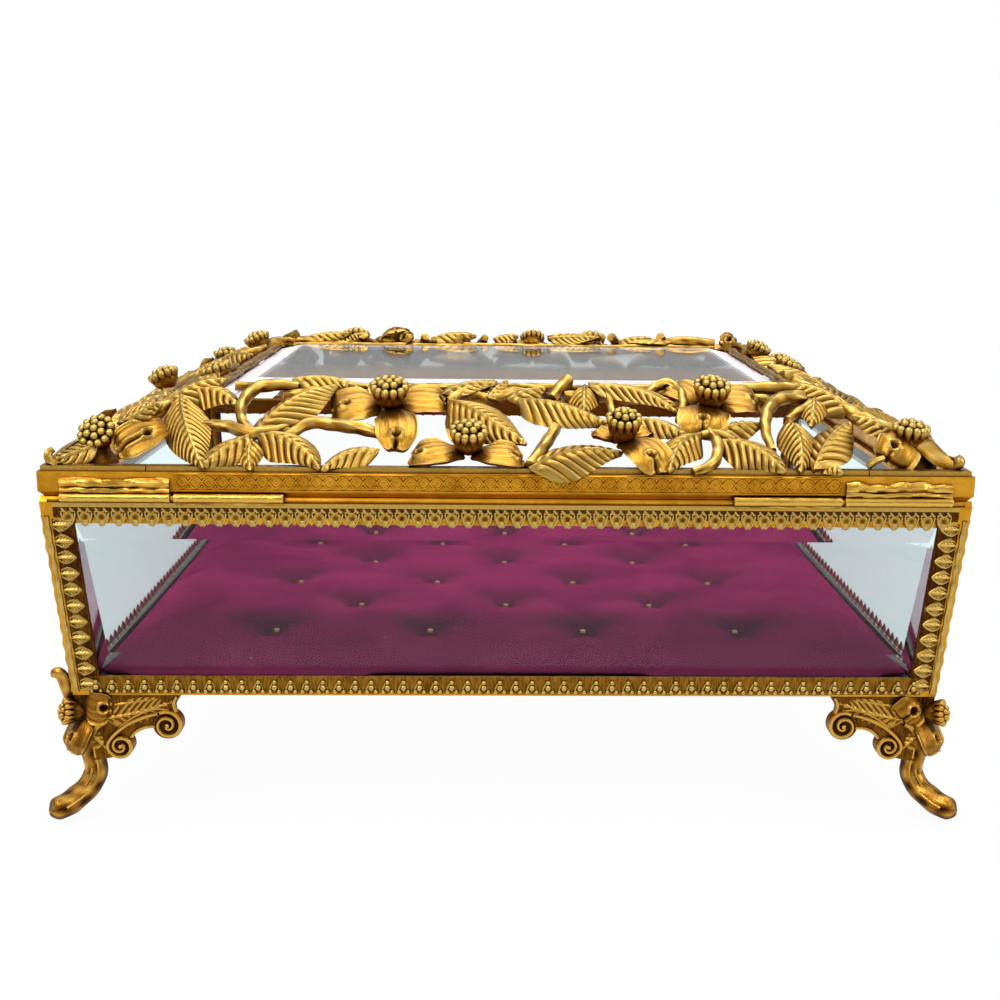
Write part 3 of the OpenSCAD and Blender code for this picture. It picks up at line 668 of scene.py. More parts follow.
@dataclass(frozen=True)
class CastGilding(Finish):
    """Brass cast in sand, gilt and then aged.

    The ridges are rubbed bright and the hollows keep a brown patina. The same dark colour
    is painted as shade where ambient occlusion finds crevices, so the eye reads the carving
    by colour as much as by light.
    """

    name: str = "gilt_casting"
    bright: str = "#caac5d"
    body: str = "#ad7b22"
    tarnish: str = "#9b6b26"
    # brown patina of the hollows, also the colour of the painted shade in crevices
    patina_and_shade: str = "#46210a"
    grain_mm: float = 0.55       # width of the striations left by the carver's tool
    sand_mm: float = 0.35        # grit of the moulding sand, drawn coarse so that it shows
    cloud_mm: float = 14.0       # size of the tarnished patches
    crevice_mm: float = 4.2      # how far a neighbour paints shade into a crevice
    rough_ridge: float = 0.31
    rough_hollow: float = 0.52

    def skin(self, tree: NodeTree) -> Node:
        """Return rubbed gold over patina by how proud the place is, with painted shade where neighbours
        crowd it.
        """
        at = node(tree, "TexCoord").outputs["Object"]
        proud = node(tree, "Attribute", attribute_name="proud").outputs["Fac"]
        grain = node(tree, "Attribute", attribute_name="grain").outputs["Vector"]
        stretched = node(tree, "VectorMath", {
            0: grain, 1: (1 / self.grain_mm, 0.13 / self.grain_mm, 1.0)}, operation="MULTIPLY")
        strands = node(tree, "TexNoise", {
            "Vector": stretched, "Scale": 1.0, "Detail": 3.0, "Roughness": 0.6})
        sand = node(tree, "TexNoise", {
            "Vector": at, "Scale": 1 / (self.sand_mm * MM), "Detail": 2.0, "Roughness": 0.6})
        clouds = node(tree, "TexNoise", {
            "Vector": at, "Scale": 1 / (self.cloud_mm * MM), "Detail": 4.0, "Roughness": 0.65})
        # painted shade: ambient occlusion darkens crevices towards the patina colour
        near = node(tree, "AmbientOcclusion", {"Distance": self.crevice_mm * MM}, samples=8)
        wear = node(tree, "Math", {0: strands, 1: 0.55, 2: proud}, operation="MULTIPLY_ADD")
        wear = node(tree, "Math", {0: clouds, 1: 0.35, 2: wear}, operation="MULTIPLY_ADD")
        unshaded_share = node(tree, "MapRange", {
            "Value": near.outputs["AO"], "From Min": 0.18, "From Max": 0.85})
        rubbed = node(tree, "MapRange", {
            "Value": wear, "From Min": 0.7, "From Max": 1.55}, interpolation_type="SMOOTHSTEP")
        patches = node(tree, "MapRange", {
            "Value": clouds, "From Min": 0.5, "From Max": 0.68, "To Max": 0.75})
        base = node(tree, "Mix", {
            "Factor": patches, "A": linear(self.body), "B": linear(self.tarnish)}, data_type="RGBA")
        base = node(tree, "Mix", {
            "Factor": rubbed, "A": base, "B": linear(self.bright)}, data_type="RGBA")
        sunk = node(tree, "MapRange", {
            "Value": wear, "From Min": 0.42, "From Max": 0.86}, interpolation_type="SMOOTHSTEP")
        bare_of_patina_and_shade = node(tree, "Math", {0: sunk, 1: unshaded_share}, operation="MULTIPLY")
        colour = node(tree, "Mix", {
            "Factor": bare_of_patina_and_shade, "A": linear(self.patina_and_shade), "B": base}, data_type="RGBA")
        rough = node(tree, "MapRange", {
            "Value": bare_of_patina_and_shade, "To Min": self.rough_hollow, "To Max": self.rough_ridge})
        height = node(tree, "Math", {0: sand, 1: 0.45, 2: strands}, operation="MULTIPLY_ADD")
        bump = node(tree, "Bump", {"Height": height, "Distance": 0.28 * MM, "Strength": 0.55})
        return node(tree, "BsdfPrincipled", {
            "Base Color": colour, "Metallic": 1.0, "Roughness": rough, "Normal": bump})


@dataclass(frozen=True)
class SheetGilding(Finish):
    """Rolled brass sheet, gilt and handled: smooth, with faint rolling lines and soft stains."""

    name: str = "gilt_sheet"
    bright: str = "#e2a530"
    body: str = "#bb7f1a"
    # grime and painted shade, laid in the joints that ambient occlusion finds
    grime_and_shade: str = "#6b3a08"
    line_mm: float = 0.5         # spacing of the rolling lines
    cloud_mm: float = 9.0        # size of the hand stains
    crevice_mm: float = 2.8      # how far a neighbour lays grime and painted shade into a joint
    rough: float = 0.3

    def skin(self, tree: NodeTree) -> Node:
        """Return handled gold with grime and painted shade in its joints."""
        at = node(tree, "TexCoord").outputs["Object"]
        clouds = node(tree, "TexNoise", {
            "Vector": at, "Scale": 1 / (self.cloud_mm * MM), "Detail": 6.0, "Roughness": 0.7})
        squeezed = node(tree, "VectorMath", {0: at, 1: (0.02, 0.02, 1.0)}, operation="MULTIPLY")
        lines = node(tree, "TexNoise", {
            "Vector": squeezed, "Scale": 1 / (self.line_mm * MM), "Detail": 3.0})
        near = node(tree, "AmbientOcclusion", {"Distance": self.crevice_mm * MM}, samples=8)
        tone = node(tree, "MapRange", {"Value": clouds, "From Min": 0.35, "From Max": 0.65})
        colour = node(tree, "Mix", {
            "Factor": tone, "A": linear(self.body), "B": linear(self.bright)}, data_type="RGBA")
        # grime and painted shade: ambient occlusion darkens joints towards the grime colour
        grime_and_shade_mask = node(tree, "MapRange", {
            "Value": near.outputs["AO"], "From Min": 0.25, "From Max": 0.8})
        colour = node(tree, "Mix", {
            "Factor": grime_and_shade_mask, "A": linear(self.grime_and_shade), "B": colour}, data_type="RGBA")
        rough = node(tree, "MapRange", {
            "Value": clouds, "From Min": 0.3, "From Max": 0.7, "To Min": self.rough + 0.12,
            "To Max": self.rough - 0.06})
        bump = node(tree, "Bump", {"Height": lines, "Distance": 0.05 * MM, "Strength": 0.35})
        return node(tree, "BsdfPrincipled", {
            "Base Color": colour, "Metallic": 1.0, "Roughness": rough, "Normal": bump})


@dataclass(frozen=True)
class PlateGlass(Finish):
    """Polished soda-lime plate with ground bevels: clear, faintly blue-green through its edge."""

    name: str = "clear_glass"
    tint: str = "#f6fbfb"
    index: float = 1.5
    mirror: float = 1.5          # index that the mirrored share follows; less where wax dulls it
    rough: float = 0.015
    shade: float = 0.93          # light that passes to what lies behind it
    ripple_mm: float = 38.0      # waves left by the rolling of the plate

    def _clear_body(self, tree: NodeTree, bump: Node) -> Node:
        """Return the shader of the glass itself.

        Args:
            tree: The material's nodes.
            bump: The ripple of its faces.

        Returns:
            One shader where the glass is bare, or a bending and a mirroring one where it is dull.
        """
        if self.mirror >= self.index:
            return node(tree, "BsdfPrincipled", {
                "Base Color": linear(self.tint), "Roughness": self.rough, "IOR": self.index,
                "Transmission Weight": 1.0, "Normal": bump})
        bent = node(tree, "BsdfRefraction", {
            "Color": linear(self.tint), "Roughness": self.rough, "IOR": self.index, "Normal": bump})
        gloss = node(tree, "BsdfAnisotropic", {
            "Color": linear("#ffffff"), "Roughness": self.rough, "Normal": bump})
        share = node(tree, "Fresnel", {"IOR": self.mirror, "Normal": bump})
        return node(tree, "MixShader", {0: share, 1: bent, 2: gloss})

    def skin(self, tree: NodeTree) -> Node:
        """Return glass that lets soft light and shadows through."""
        at = node(tree, "TexCoord").outputs["Object"]
        ripple = node(tree, "TexNoise", {
            "Vector": at, "Scale": 1 / (self.ripple_mm * MM), "Detail": 1.0})
        bump = node(tree, "Bump", {"Height": ripple, "Distance": 0.1 * MM, "Strength": 0.05})
        pane = self._clear_body(tree, bump)
        passing = node(tree, "BsdfTransparent", {"Color": (*(self.shade,) * 3, 1.0)})
        rays = node(tree, "LightPath")
        soft = node(tree, "Math", {
            0: rays.outputs["Is Shadow Ray"], 1: rays.outputs["Is Diffuse Ray"]},
            operation="MAXIMUM")
        return node(tree, "MixShader", {0: soft, 1: pane, 2: passing})


@dataclass(frozen=True)
class BevelPaintedWhite(Finish):
    """The lid glass's wide bevel.

    Its slant turns the room's light to the eye, so it looks white. Here that white is a
    painted reflection: a milky diffuse layer over clear glass.
    """

    name: str = "bevel_painted_reflection"
    tint: str = "#f6fbfb"
    # painted reflection: the white that the bevel shows
    tone: str = "#f7fafa"
    reflection_streak: str = "#d7dfe2"
    streak_mm: float = 1.6       # size of the faint streaks in the painted reflection
    clear: float = 0.25          # share of the light that still passes as through clear glass

    def skin(self, tree: NodeTree) -> Node:
        """Return a painted white reflection mixed with clear glass."""
        at = node(tree, "TexCoord").outputs["Object"]
        drawn = node(tree, "VectorMath", {0: at, 1: (0.06, 0.06, 1.0)}, operation="MULTIPLY")
        painted_streaks = node(tree, "TexNoise", {
            "Vector": drawn, "Scale": 1 / (self.streak_mm * MM), "Detail": 2.0})
        colour = node(tree, "Mix", {
            "Factor": painted_streaks, "A": linear(self.tone), "B": linear(self.reflection_streak)}, data_type="RGBA")
        # painted reflection: white diffuse and translucent layers stand in for the light the bevel
        # turns to the eye
        painted_white = node(tree, "BsdfDiffuse", {"Color": colour})
        through = node(tree, "BsdfTranslucent", {"Color": colour})
        lit = node(tree, "AddShader", {0: painted_white, 1: through})
        pane = node(tree, "BsdfPrincipled", {
            "Base Color": linear(self.tint), "Roughness": 0.05, "IOR": 1.5,
            "Transmission Weight": 1.0})
        return node(tree, "MixShader", {0: self.clear, 1: lit, 2: pane})


@dataclass(frozen=True)
class Velvet(Finish):
    """Cotton velvet, woven with a cut pile: dark face-on, pale where the pile is seen edge-on."""

    name: str = "plum_velvet"
    deep: str = "#801d52"
    worn: str = "#ae356c"
    lint: str = "#a88a96"
    shadow: str = "#4f2a3c"      # painted shade: round the tufts, in the pleats, on slopes that face the back, and towards the front
    sheen: str = "#c05a86"
    pile_mm: float = 0.35        # tufts of pile, drawn three times as coarse as they are
    nap_mm: float = 26.0         # patches where the pile lies one way
    lint_mm: float = 7.5         # distance between two specks of lint

    def skin(self, tree: NodeTree) -> Node:
        """Return the pile, with its painted shade and its lint."""
        at = node(tree, "TexCoord").outputs["Object"]
        nap = node(tree, "TexNoise", {
            "Vector": at, "Scale": 1 / (self.nap_mm * MM), "Detail": 4.0, "Roughness": 0.6,
            "Distortion": 0.6})
        pile = node(tree, "TexNoise", {
            "Vector": at, "Scale": 1 / (self.pile_mm * MM), "Detail": 2.0})
        specks = node(tree, "TexVoronoi", {
            "Vector": at, "Scale": 1 / (self.lint_mm * MM), "Randomness": 1.0}, feature="F1")
        tone = node(tree, "Math", {0: pile, 1: 0.3, 2: nap}, operation="MULTIPLY_ADD")
        lean = node(tree, "MapRange", {"Value": tone, "From Min": 0.45, "From Max": 0.9})
        colour = node(tree, "Mix", {
            "Factor": lean, "A": linear(self.deep), "B": linear(self.worn)}, data_type="RGBA")
        # painted shade, read from the cushion's own attribute
        pressed = node(tree, "Attribute", attribute_name="pressed")
        colour = node(tree, "Mix", {
            "Factor": pressed.outputs["Fac"], "A": colour, "B": linear(self.shadow)},
            data_type="RGBA")
        dust = node(tree, "MapRange", {
            "Value": specks, "From Min": 0.035, "From Max": 0.05, "To Min": 0.7, "To Max": 0.0})
        colour = node(tree, "Mix", {
            "Factor": dust, "A": colour, "B": linear(self.lint)}, data_type="RGBA")
        bump = node(tree, "Bump", {"Height": pile, "Distance": 0.12 * MM, "Strength": 0.2})
        return node(tree, "BsdfPrincipled", {
            "Base Color": colour, "Roughness": 0.9, "Specular IOR Level": 0.0, "Sheen Weight": 0.04,
            "Sheen Roughness": 0.4, "Sheen Tint": linear(self.sheen), "Normal": bump})


@dataclass(frozen=True)
class PlainFibre(Finish):
    """Card or thread: matt, with a fine even fleck."""

    light: str
    dark: str
    fleck_mm: float = 0.6

    def skin(self, tree: NodeTree) -> Node:
        """Return a flecked matt surface."""
        at = node(tree, "TexCoord").outputs["Object"]
        fleck = node(tree, "TexNoise", {
            "Vector": at, "Scale": 1 / (self.fleck_mm * MM), "Detail": 4.0})
        colour = node(tree, "Mix", {
            "Factor": fleck, "A": linear(self.dark), "B": linear(self.light)}, data_type="RGBA")
        bump = node(tree, "Bump", {"Height": fleck, "Distance": 0.1 * MM, "Strength": 0.4})
        return node(tree, "BsdfPrincipled", {
            "Base Color": colour, "Roughness": 0.85, "Normal": bump})


@dataclass(frozen=True)
class FloorPaper(Finish):
    """White paper: blank to the eye and to mirrors, darker only close under the object, where a shadow
    is painted.
    """

    contact_m: float = 0.05      # how near the object has to be for the painted shadow
    painted_shadow_darkest: float = 0.93

    def skin(self, tree: NodeTree) -> Node:
        """Return an even glow where it is seen, dimmed by a painted shadow near the object, and plain
        matt paper for other light.
        """
        rays = node(tree, "LightPath")
        seen = node(tree, "Math", {
            0: rays.outputs["Is Camera Ray"], 1: rays.outputs["Is Glossy Ray"]},
            operation="MAXIMUM")
        seen = node(tree, "Math", {
            0: seen, 1: rays.outputs["Is Transmission Ray"]}, operation="MAXIMUM")
        # painted shadow: ambient occlusion dims the floor's glow close under the object
        near = node(tree, "AmbientOcclusion", {"Distance": self.contact_m}, samples=16)
        shade = node(tree, "MapRange", {
            "Value": near.outputs["AO"], "From Min": 0.1, "From Max": 0.85, "To Min": self.painted_shadow_darkest})
        glow = node(tree, "Emission", {"Strength": shade})
        matt = node(tree, "BsdfDiffuse", {"Color": linear("#f4f4f2")})
        return node(tree, "MixShader", {0: seen, 1: matt, 2: glow})


@dataclass
class Finishes:
    """The box's finishes, each made once."""

    casting: Material
    # painted shade: a darker copy of the gilt casting, for the feet down in less light
    worn: Material
    polished: Material
    sheet: Material
    glass: Material
    pane: Material
    side_pane: Material
    bevel: Material
    velvet: Material
    card: Material
    thread: Material

    @classmethod
    def make(cls) -> "Finishes":
        """Return all the finishes."""
        return cls(*(finish.material() for finish in (
            CastGilding(),
            # painted shade: the gilt casting darkened for the feet, which get less light
            CastGilding("gilt_casting_darkened_for_shade", "#d6a548", "#8c5b18", "#7a4f20", "#2c1305"),
            CastGilding("polished_gilt", "#e6bb55", "#c6933a", "#ae7f30", "#4e2a06",
                        rough_ridge=0.26, sand_mm=1.2),
            SheetGilding(),
            PlateGlass(),
            PlateGlass("pane_glass", "#fdfefe", mirror=1.22),
            PlateGlass("edge_on_pane_glass", "#e2f8f8"),
            BevelPaintedWhite(),
            Velvet(),
            PlainFibre("plum_card", "#4a2036", "#351526"),
            PlainFibre("tan_thread", "#dcb488", "#a07450", 0.2))))


def dress(piece: Object, material: Material) -> None:
    """Give a piece one material on all its faces."""
    piece.data.materials.clear()
    piece.data.materials.append(material)


def finish_piece(piece: Object, body: Body, material: Material, replaced: Sequence[str] = ()) -> Object:
    """Dress a piece, put it on its body and let it stand for its CAD nodes.

    Args:
        piece: The piece.
        body: The body that it rides on.
        material: Its finish.
        replaced: The CAD nodes that it stands for.

    Returns:
        The piece.
    """
    dress(piece, material)
    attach(piece, body.value)
    if replaced:
        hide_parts(*replaced)
    LOG.info("%s: %d points on %s", piece.name, len(piece.data.vertices), body.value)
    return piece


BORDER_SHINE = 0.62     # how proud the flat border counts, which is how far it is rubbed


@dataclass
class LidCastings:
    """The four pierced castings round the lid glass: leaves, flowers, berries and twigs."""

    finishes: Finishes

    def long_spray(self, f: Foundry) -> None:
        """Model the spray of the long sides, from left to right."""
        self._top_vine(f)
        self._first_branch(f)
        self._first_flowers(f)
        self._middle_leaves(f)
        self._last_flowers(f)
        self._last_branch(f)

    @staticmethod
    def _top_vine(f: Foundry) -> None:
        """Model the thick vine that runs along the top edge of a long spray."""
        for start, end in ((-66, -38), (-30, 8), (16, 46), (64, 84)):
            f.twig([(x, 38.6 + 1.1 * math.sin(0.31 * x), 1 + 0.4 * math.sin(0.53 * x),
                     1.7 + 0.3 * math.sin(0.9 * x)) for x in np.linspace(start, end, 7)],
                   sides=14, bark=0.1)

    @staticmethod
    def _first_branch(f: Foundry) -> None:
        """Model the five leaves and the hooked twig left of the first flower."""
        f.leaf((-94.5, 33.5, 4.2), (-82.3, -1.9, 2.2), 12.5, lift=2.2, bend=-1.5, tilt=6)
        f.leaf((-92, 35.5, 3.8), (-77.5, 28.6, 3.4), 10.5, lift=2, bend=1.5)
        f.twig([(-62, 40.5, 2.6, 1.2), (-68, 39.5, 3.6, 1.7), (-72.6, 37.4, 4.2, 1.8),
                (-75.2, 33, 4.2, 1.75), (-76.4, 27, 3.8, 1.6), (-74.9, 20, 3.2, 1.4),
                (-71.2, 14.5, 2.8, 1.4)])
        f.twig([(-86.5, 19.5, 2, 1.6), (-79, 18.2, 2.6, 1.7), (-71, 14.2, 3, 1.9),
                (-63, 18, 2.6, 1.2), (-57, 25, 2.4, 0.9)])
        f.leaf((-71, 14.4, 3), (-49.8, 38.4, 4.4), 15.5, lift=3, bend=1.2, tilt=-8)
        f.leaf((-70.4, 13.6, 3), (-51.2, -1.6, 1.9), 12.5, lift=2.6, bend=2, tilt=4)
        f.leaf((-71.4, 13.4, 3), (-83.6, -0.8, 1.7), 9.8, lift=2.4, bend=1.2, tilt=-6)
        f.leaf((-71, 12.6, 2.4), (-69.6, -1.8, 1.4), 7, lift=1.4, bend=-0.8)
        f.leaf((-64, 43.6, 3), (-44.5, 39.6, 3.2), 7.5, lift=1.6, bend=1)

    @staticmethod
    def _first_flowers(f: Foundry) -> None:
        """Model the first two flowers and what grows between them."""
        f.petal((-37, 30, 3.2), (-52.4, 27.4, 2.4), 15.5, lift=1.8, tilt=-6)
        f.petal((-34.2, 27.5, 3.2), (-31.6, 7.2, 2.4), 12, lift=2.2, bend=1.2, pit=0.74)
        f.petal((-32.5, 31, 3), (-16.8, 33.2, 2.6), 13.5, lift=1.6, tilt=6, pit=0.86)
        f.petal((-34.6, 33, 2.6), (-36.5, 44.5, 2.6), 11.5, lift=1)
        f.berry((-34.3, 29.8, 2.4), 5.5, 9.4)
        f.leaf((-35.8, 7.4, 2.2), (-50.8, -1.9, 1.6), 8.6, lift=1.8, bend=-1.6)
        f.petal((-13.5, 7.4, 2.6), (-28.4, 5.4, 2), 12.5, lift=1.6, bend=1.2, pit=0.78)
        f.petal((-9.5, 7, 2.6), (4.8, 4.6, 2), 12, lift=1.6, bend=-1.2, pit=0.8)
        f.petal((-11.6, 9.5, 2.2), (-13.6, 20.5, 2.6), 10, lift=1.2)
        f.berry((-11.3, 7.4, 2), 5.2, 9.2)
        f.leaf((-19.5, 36.4, 2.6), (-3.6, 41.9, 3), 7.2, lift=1.6, bend=1.2, curl=0.8)
        f.leaf((-17.6, 32.4, 3.2), (4.8, 9.9, 3), 16.5, lift=3.2, bend=-1.6, tilt=8)
        f.leaf((-6.2, 35.2, 2.4), (-0.6, 44.9, 2.6), 7, lift=1)
        f.leaf((-0.4, 34.2, 2.4), (11.4, 40.6, 2.8), 8.4, lift=1.4)
        f.twig([(-17.6, 33, 2.4, 1.3), (-12.5, 39, 2.4, 1.4), (-4, 43.2, 2.2, 1.5)])
        f.twig([(-62, 13.5, 2.2, 1.5), (-56, 19.5, 3, 1.8), (-48, 18.6, 3, 1.9),
                (-40, 17.2, 2.4, 1.7), (-34, 14.6, 2, 1.4)])

    @staticmethod
    def _middle_leaves(f: Foundry) -> None:
        """Model the leaves and cut twigs of the middle."""
        f.twig([(12.4, 34.6, 2.6, 1.5), (14.6, 39, 3.2, 1.75), (17.6, 43.8, 3.6, 1.9)])
        f.leaf((22.4, 42.4, 2.8), (21.2, 26.2, 2.4), 8.6, lift=1.8)
        f.leaf((2.6, 33.2, 3), (27.8, 21, 2.8), 14.5, lift=3, bend=-1, tilt=-5)
        f.twig([(13.2, 19.6, 2.4, 1.55), (10, 11, 2.2, 1.7), (5.4, 0.4, 1.8, 1.85)])
        f.leaf((5.2, -1, 2), (31.2, 6.6, 2.4), 14, lift=2.8, bend=1.4, tilt=5)
        f.petal((32, 13, 2.6), (40.6, -3, 2.2), 12.6, lift=2.2, bend=1, pit=0.66)
        f.petal((31.2, 14.5, 2.2), (23.6, 19.4, 2), 9, lift=1.2, pit=0.9)
        f.petal((33, 15, 2.2), (38.8, 20.5, 2.2), 9, lift=1.2, pit=0.9)
        f.berry((31.5, 13.4, 1.6), 4.9, 10.4)
        f.twig([(28.4, 40.2, 2.6, 1), (29.3, 33, 2.8, 1.05), (29.9, 24.6, 2.2, 1.1),
                (30.8, 17, 2, 1.3)])

    @staticmethod
    def _last_flowers(f: Foundry) -> None:
        """Model the rolled leaf, the loop and the last flower."""
        f.leaf((23.6, 40.6, 3), (48.4, 26.2, 3.2), 10, lift=2.6, bend=2.2, curl=1.2)
        f.leaf((36, 23.6, 2.6), (50, 15.4, 2.4), 9.4, lift=1.8)
        f.twig([(40.6, 38.4, 2.4, 1.3), (44, 41.6, 3, 1.5), (47.4, 42.2, 3.4, 1.6),
                (50.2, 37.5, 3.4, 1.6), (50.2, 30, 3, 1.5), (48.6, 23.4, 2.4, 1.4)])
        f.petal((57.8, 31, 3.2), (54, 14.6, 2.4), 15, lift=2.2, bend=-0.6, pit=0.6)
        f.petal((60.4, 32.6, 3), (74, 33.8, 2.6), 13, lift=1.8, tilt=8, pit=0.8)
        f.petal((56, 34, 2.8), (45.8, 42.6, 2.6), 11.5, lift=1.6, pit=0.85)
        f.petal((59, 36, 2.4), (62.4, 44.6, 2.4), 11, lift=1)
        f.berry((58.4, 31.6, 2.2), 5.3, 9.6)
        f.leaf((53.8, 15.9, 2.8), (43, -1.9, 1.8), 11.5, lift=2.4, bend=-1.8)
        f.twig([(56.2, 17, 2.8, 1.3), (57.6, 12, 3, 1.5), (57.4, 7, 2.8, 1.6), (55, 1.4, 2.2, 1.5),
                (49.6, -1.4, 1.4, 1.2)])
        f.leaf((57.6, 12.4, 2.8), (74.6, -1.9, 2), 13, lift=2.8, bend=1.2, tilt=4)
        f.leaf((58.4, 17.2, 2.6), (72.4, 21.4, 2.6), 9, lift=1.8)
        f.twig([(54, 16, 2.2, 1.2), (58, 16, 2.6, 1.6), (63, 13.6, 2.2, 1.1)])

    @staticmethod
    def _last_branch(f: Foundry) -> None:
        """Model the hooked twig and the leaves right of the last flower."""
        f.twig([(86.5, 35.6, 2.8, 2), (80.9, 34.4, 3.8, 1.95), (76.2, 30.2, 4.2, 1.9),
                (73.2, 23.5, 4, 1.7), (72, 15.2, 3.2, 1.4), (72.8, 8, 2.4, 1.1)])
        f.twig([(69.5, 41.6, 2.6, 1.6), (78, 40.4, 3.4, 1.9), (87, 40, 3, 2.1), (93, 36.5, 2.4, 2)])
        f.leaf((79.6, 23.2, 3.2), (78.8, -1.9, 2), 10.5, lift=2.4, bend=1.2)
        f.leaf((90, 37.4, 3), (85.8, 20.4, 2.6), 7.6, lift=1.8)
        f.twig([(79.6, 24, 2.4, 1.2), (83, 28, 2.6, 1.3), (88, 32.5, 2.6, 1.5)])
        f.leaf((82.4, -1.2, 2.2), (97.5, 21, 4), 13, lift=2.6, bend=1.4, tilt=-6)
        f.leaf((84, 4.4, 2), (90.5, -1.8, 1.6), 6, lift=1)

    @staticmethod
    def crest(f: Foundry) -> None:
        """Model the leaves, flower and cut twigs that stand along the front casting's top edge."""
        f = Foundry(f.cast, lambda p, place=f.place: place(p + np.array([0, 0.3, 0.6])))
        top = f.facing(0, 0.82, 0.57)
        f.twig([(88, 33, 2.4, 1.5), (84, 39, 4, 1.8), (80, 41.5, 5.2, 1.9)])
        top.leaf((78, 40.5, 4), (60, 42.5, 5.4), 8.2, lift=0.8)
        top.leaf((62, 40, 3.2), (55.4, 43, 5.2), 6.8, lift=0.6)
        f.twig([(57, 36, 2.4, 1.4), (55.4, 39.6, 3.6, 1.6), (54.5, 42.6, 4.6, 1.7)])
        top.petal((41.5, 40, 1.4), (42.4, 43.2, 6.9), 13, lift=-0.8, cup=0.12, roll=1, pit=-1)
        top.petal((41, 41.5, 1.6), (36.2, 43.6, 6.2), 8, lift=0.6, roll=0.7, pit=0.5)
        f.twig([(33, 36, 2.4, 1.3), (31.4, 40.2, 3.4, 1.5), (30.6, 42.8, 4.2, 1.5)])
        top.leaf((28.6, 41, 4.2), (11, 42.8, 5), 7.8, lift=0.9, bend=0.6)
        f.twig([(12, 34, 2.4, 1.2), (9, 40, 3.2, 1.4), (7.6, 42.8, 4, 1.5)])
        top.leaf((4.6, 41, 4), (-5.2, 42.6, 5.2), 7.8, lift=0.7)
        f.berry((-10.6, 41.2, -0.4), 4.7, 8.4, axis=(0, -0.38, 1))
        top.leaf((-16.4, 41.4, 4.4), (-37, 42.8, 4.4), 6.5, lift=0.8, curl=1, rib_mm=2.4)
        f.twig([(-44.6, 36, 2.4, 1.5), (-42.6, 40, 3.8, 1.7), (-41, 42.8, 4.8, 1.8)])
        top.leaf((-43.4, 41, 3.6), (-56.4, 42.8, 4.6), 7.2, lift=0.7)
        f.twig([(-63, 36, 2.4, 1.5), (-61.2, 40, 4, 1.7), (-60, 42.8, 5, 1.8)])
        f.twig([(-61, 41, 2.8, 1.8), (-70, 42.2, 3.4, 2.1), (-81, 42.4, 2.4, 1.9)], bark=0.04)
        top.petal((-84, 41, 2), (-89, 42.4, 5.8), 8, lift=0.5, roll=0.8, pit=0.6)

    def short_spray(self, f: Foundry, side: Side) -> None:
        """Model the spray of the short sides, from left to right."""
        for base, tip, width, bend in (
                ((-64, 29, 3.2), (-56.5, -1.6, 1.8), 14.5, 1.2),
                ((-46.5, 16.7, 3), (-56.5, 39.6, 3.4), 13, -1.4),
                ((-40.4, 16.7, 3), (-45.5, -1.7, 1.8), 12, 1),
                ((-26.3, 11.4, 3), (-11.6, -1.6, 1.8), 12.5, -1.2),
                ((-24.2, 22, 3.2), (-7.6, 42.2, 3.4), 14, 1.6),
                ((-4, 15, 2.8), (6.2, -1.7, 1.8), 11, 1.2),
                ((12.1, 29.9, 3), (28.6, 42.6, 3.2), 12.5, -1.2),
                ((26.3, 15, 3), (41.6, -1.6, 1.8), 13.5, 1.4),
                ((30.3, 18.5, 3), (49, 24, 3.4), 11.5, 1.2),
                ((52.5, 28.1, 3.2), (66.5, 11.2, 2.6), 13, 1.6),
                ((63.5, 4.8, 2.6), (46.2, 10.8, 3), 11, 1),
                ((-68.6, 5, 2.6), (-46.4, 6.4, 2.8), 10.5, 1.4)):
            f.leaf(base, tip, width, lift=2.4, bend=bend)
        for base, tip, width in (
                ((-39.5, 22.4, 3), (-51.5, 21.6, 2.4), 14),
                ((-35.4, 22, 3), (-21.6, 17, 2.4), 13.5),
                ((13, 19.8, 3), (0.2, 26.6, 2.6), 13.5),
                ((15.6, 18.2, 3), (27.2, 8, 2.4), 13),
                ((46.4, 35, 3), (34.4, 28.6, 2.6), 13),
                ((49, 36, 3), (58.6, 41, 2.6), 10),
                ((-37, 24, 2.6), (-34.6, 34.6, 2.6), 11),
                ((14.4, 17, 2.6), (10, 6.6, 2.2), 10.5)):
            f.petal(base, tip, width, lift=1.8)
        berries = {
            Side.LEFT: (((40, 40, 0.6), 5, 7), ((24, 20, 4.6), 5, 7.4),
                        ((-45, 39, 2.4), 4.8, 7.2)),
            Side.RIGHT: (((16, 30, 1.4), 5, 7), ((26, 40, 2.1), 4.8, 7))}
        for foot, radius, height in berries[side]:
            f.berry(foot, radius, height)
        for places in (
                [(-64.6, 30, 2.6, 1.6), (-59, 37, 2.8, 1.8), (-52.5, 43, 2.6, 1.9)],
                [(-38.4, 22, 2.4, 1.5), (-31.5, 31, 3, 1.7), (-32, 38, 3.2, 1.7),
                 (-34.3, 43, 2.6, 1.6)],
                [(-22.2, 22, 2.4, 1.5), (-14, 27.6, 3, 1.7), (-4, 27.4, 3, 1.7), (8, 22, 2.4, 1.6)],
                [(14.1, 17.6, 2.4, 1.6), (17, 9, 2.6, 1.8), (18.2, 0.4, 2, 1.8)],
                [(26.3, 43, 2.6, 1.6), (36, 41, 3.2, 1.8), (47.5, 34.4, 2.6, 1.6)],
                [(54.5, 25.6, 2.4, 1.4), (56, 34, 3, 1.7), (54.5, 42.8, 2.8, 1.8)],
                [(46.5, 23, 2.4, 1.5), (50.4, 12, 2.8, 1.7), (50.5, 0.4, 2, 1.7)],
                [(-12.1, 24.8, 2.4, 1.4), (-15, 12, 2.6, 1.6), (-15.1, 0.4, 2, 1.6)],
                [(-58, 12, 2.2, 1.4), (-48, 15.5, 2.8, 1.6), (-38.4, 17.6, 2.4, 1.5)]):
            f.twig(places)

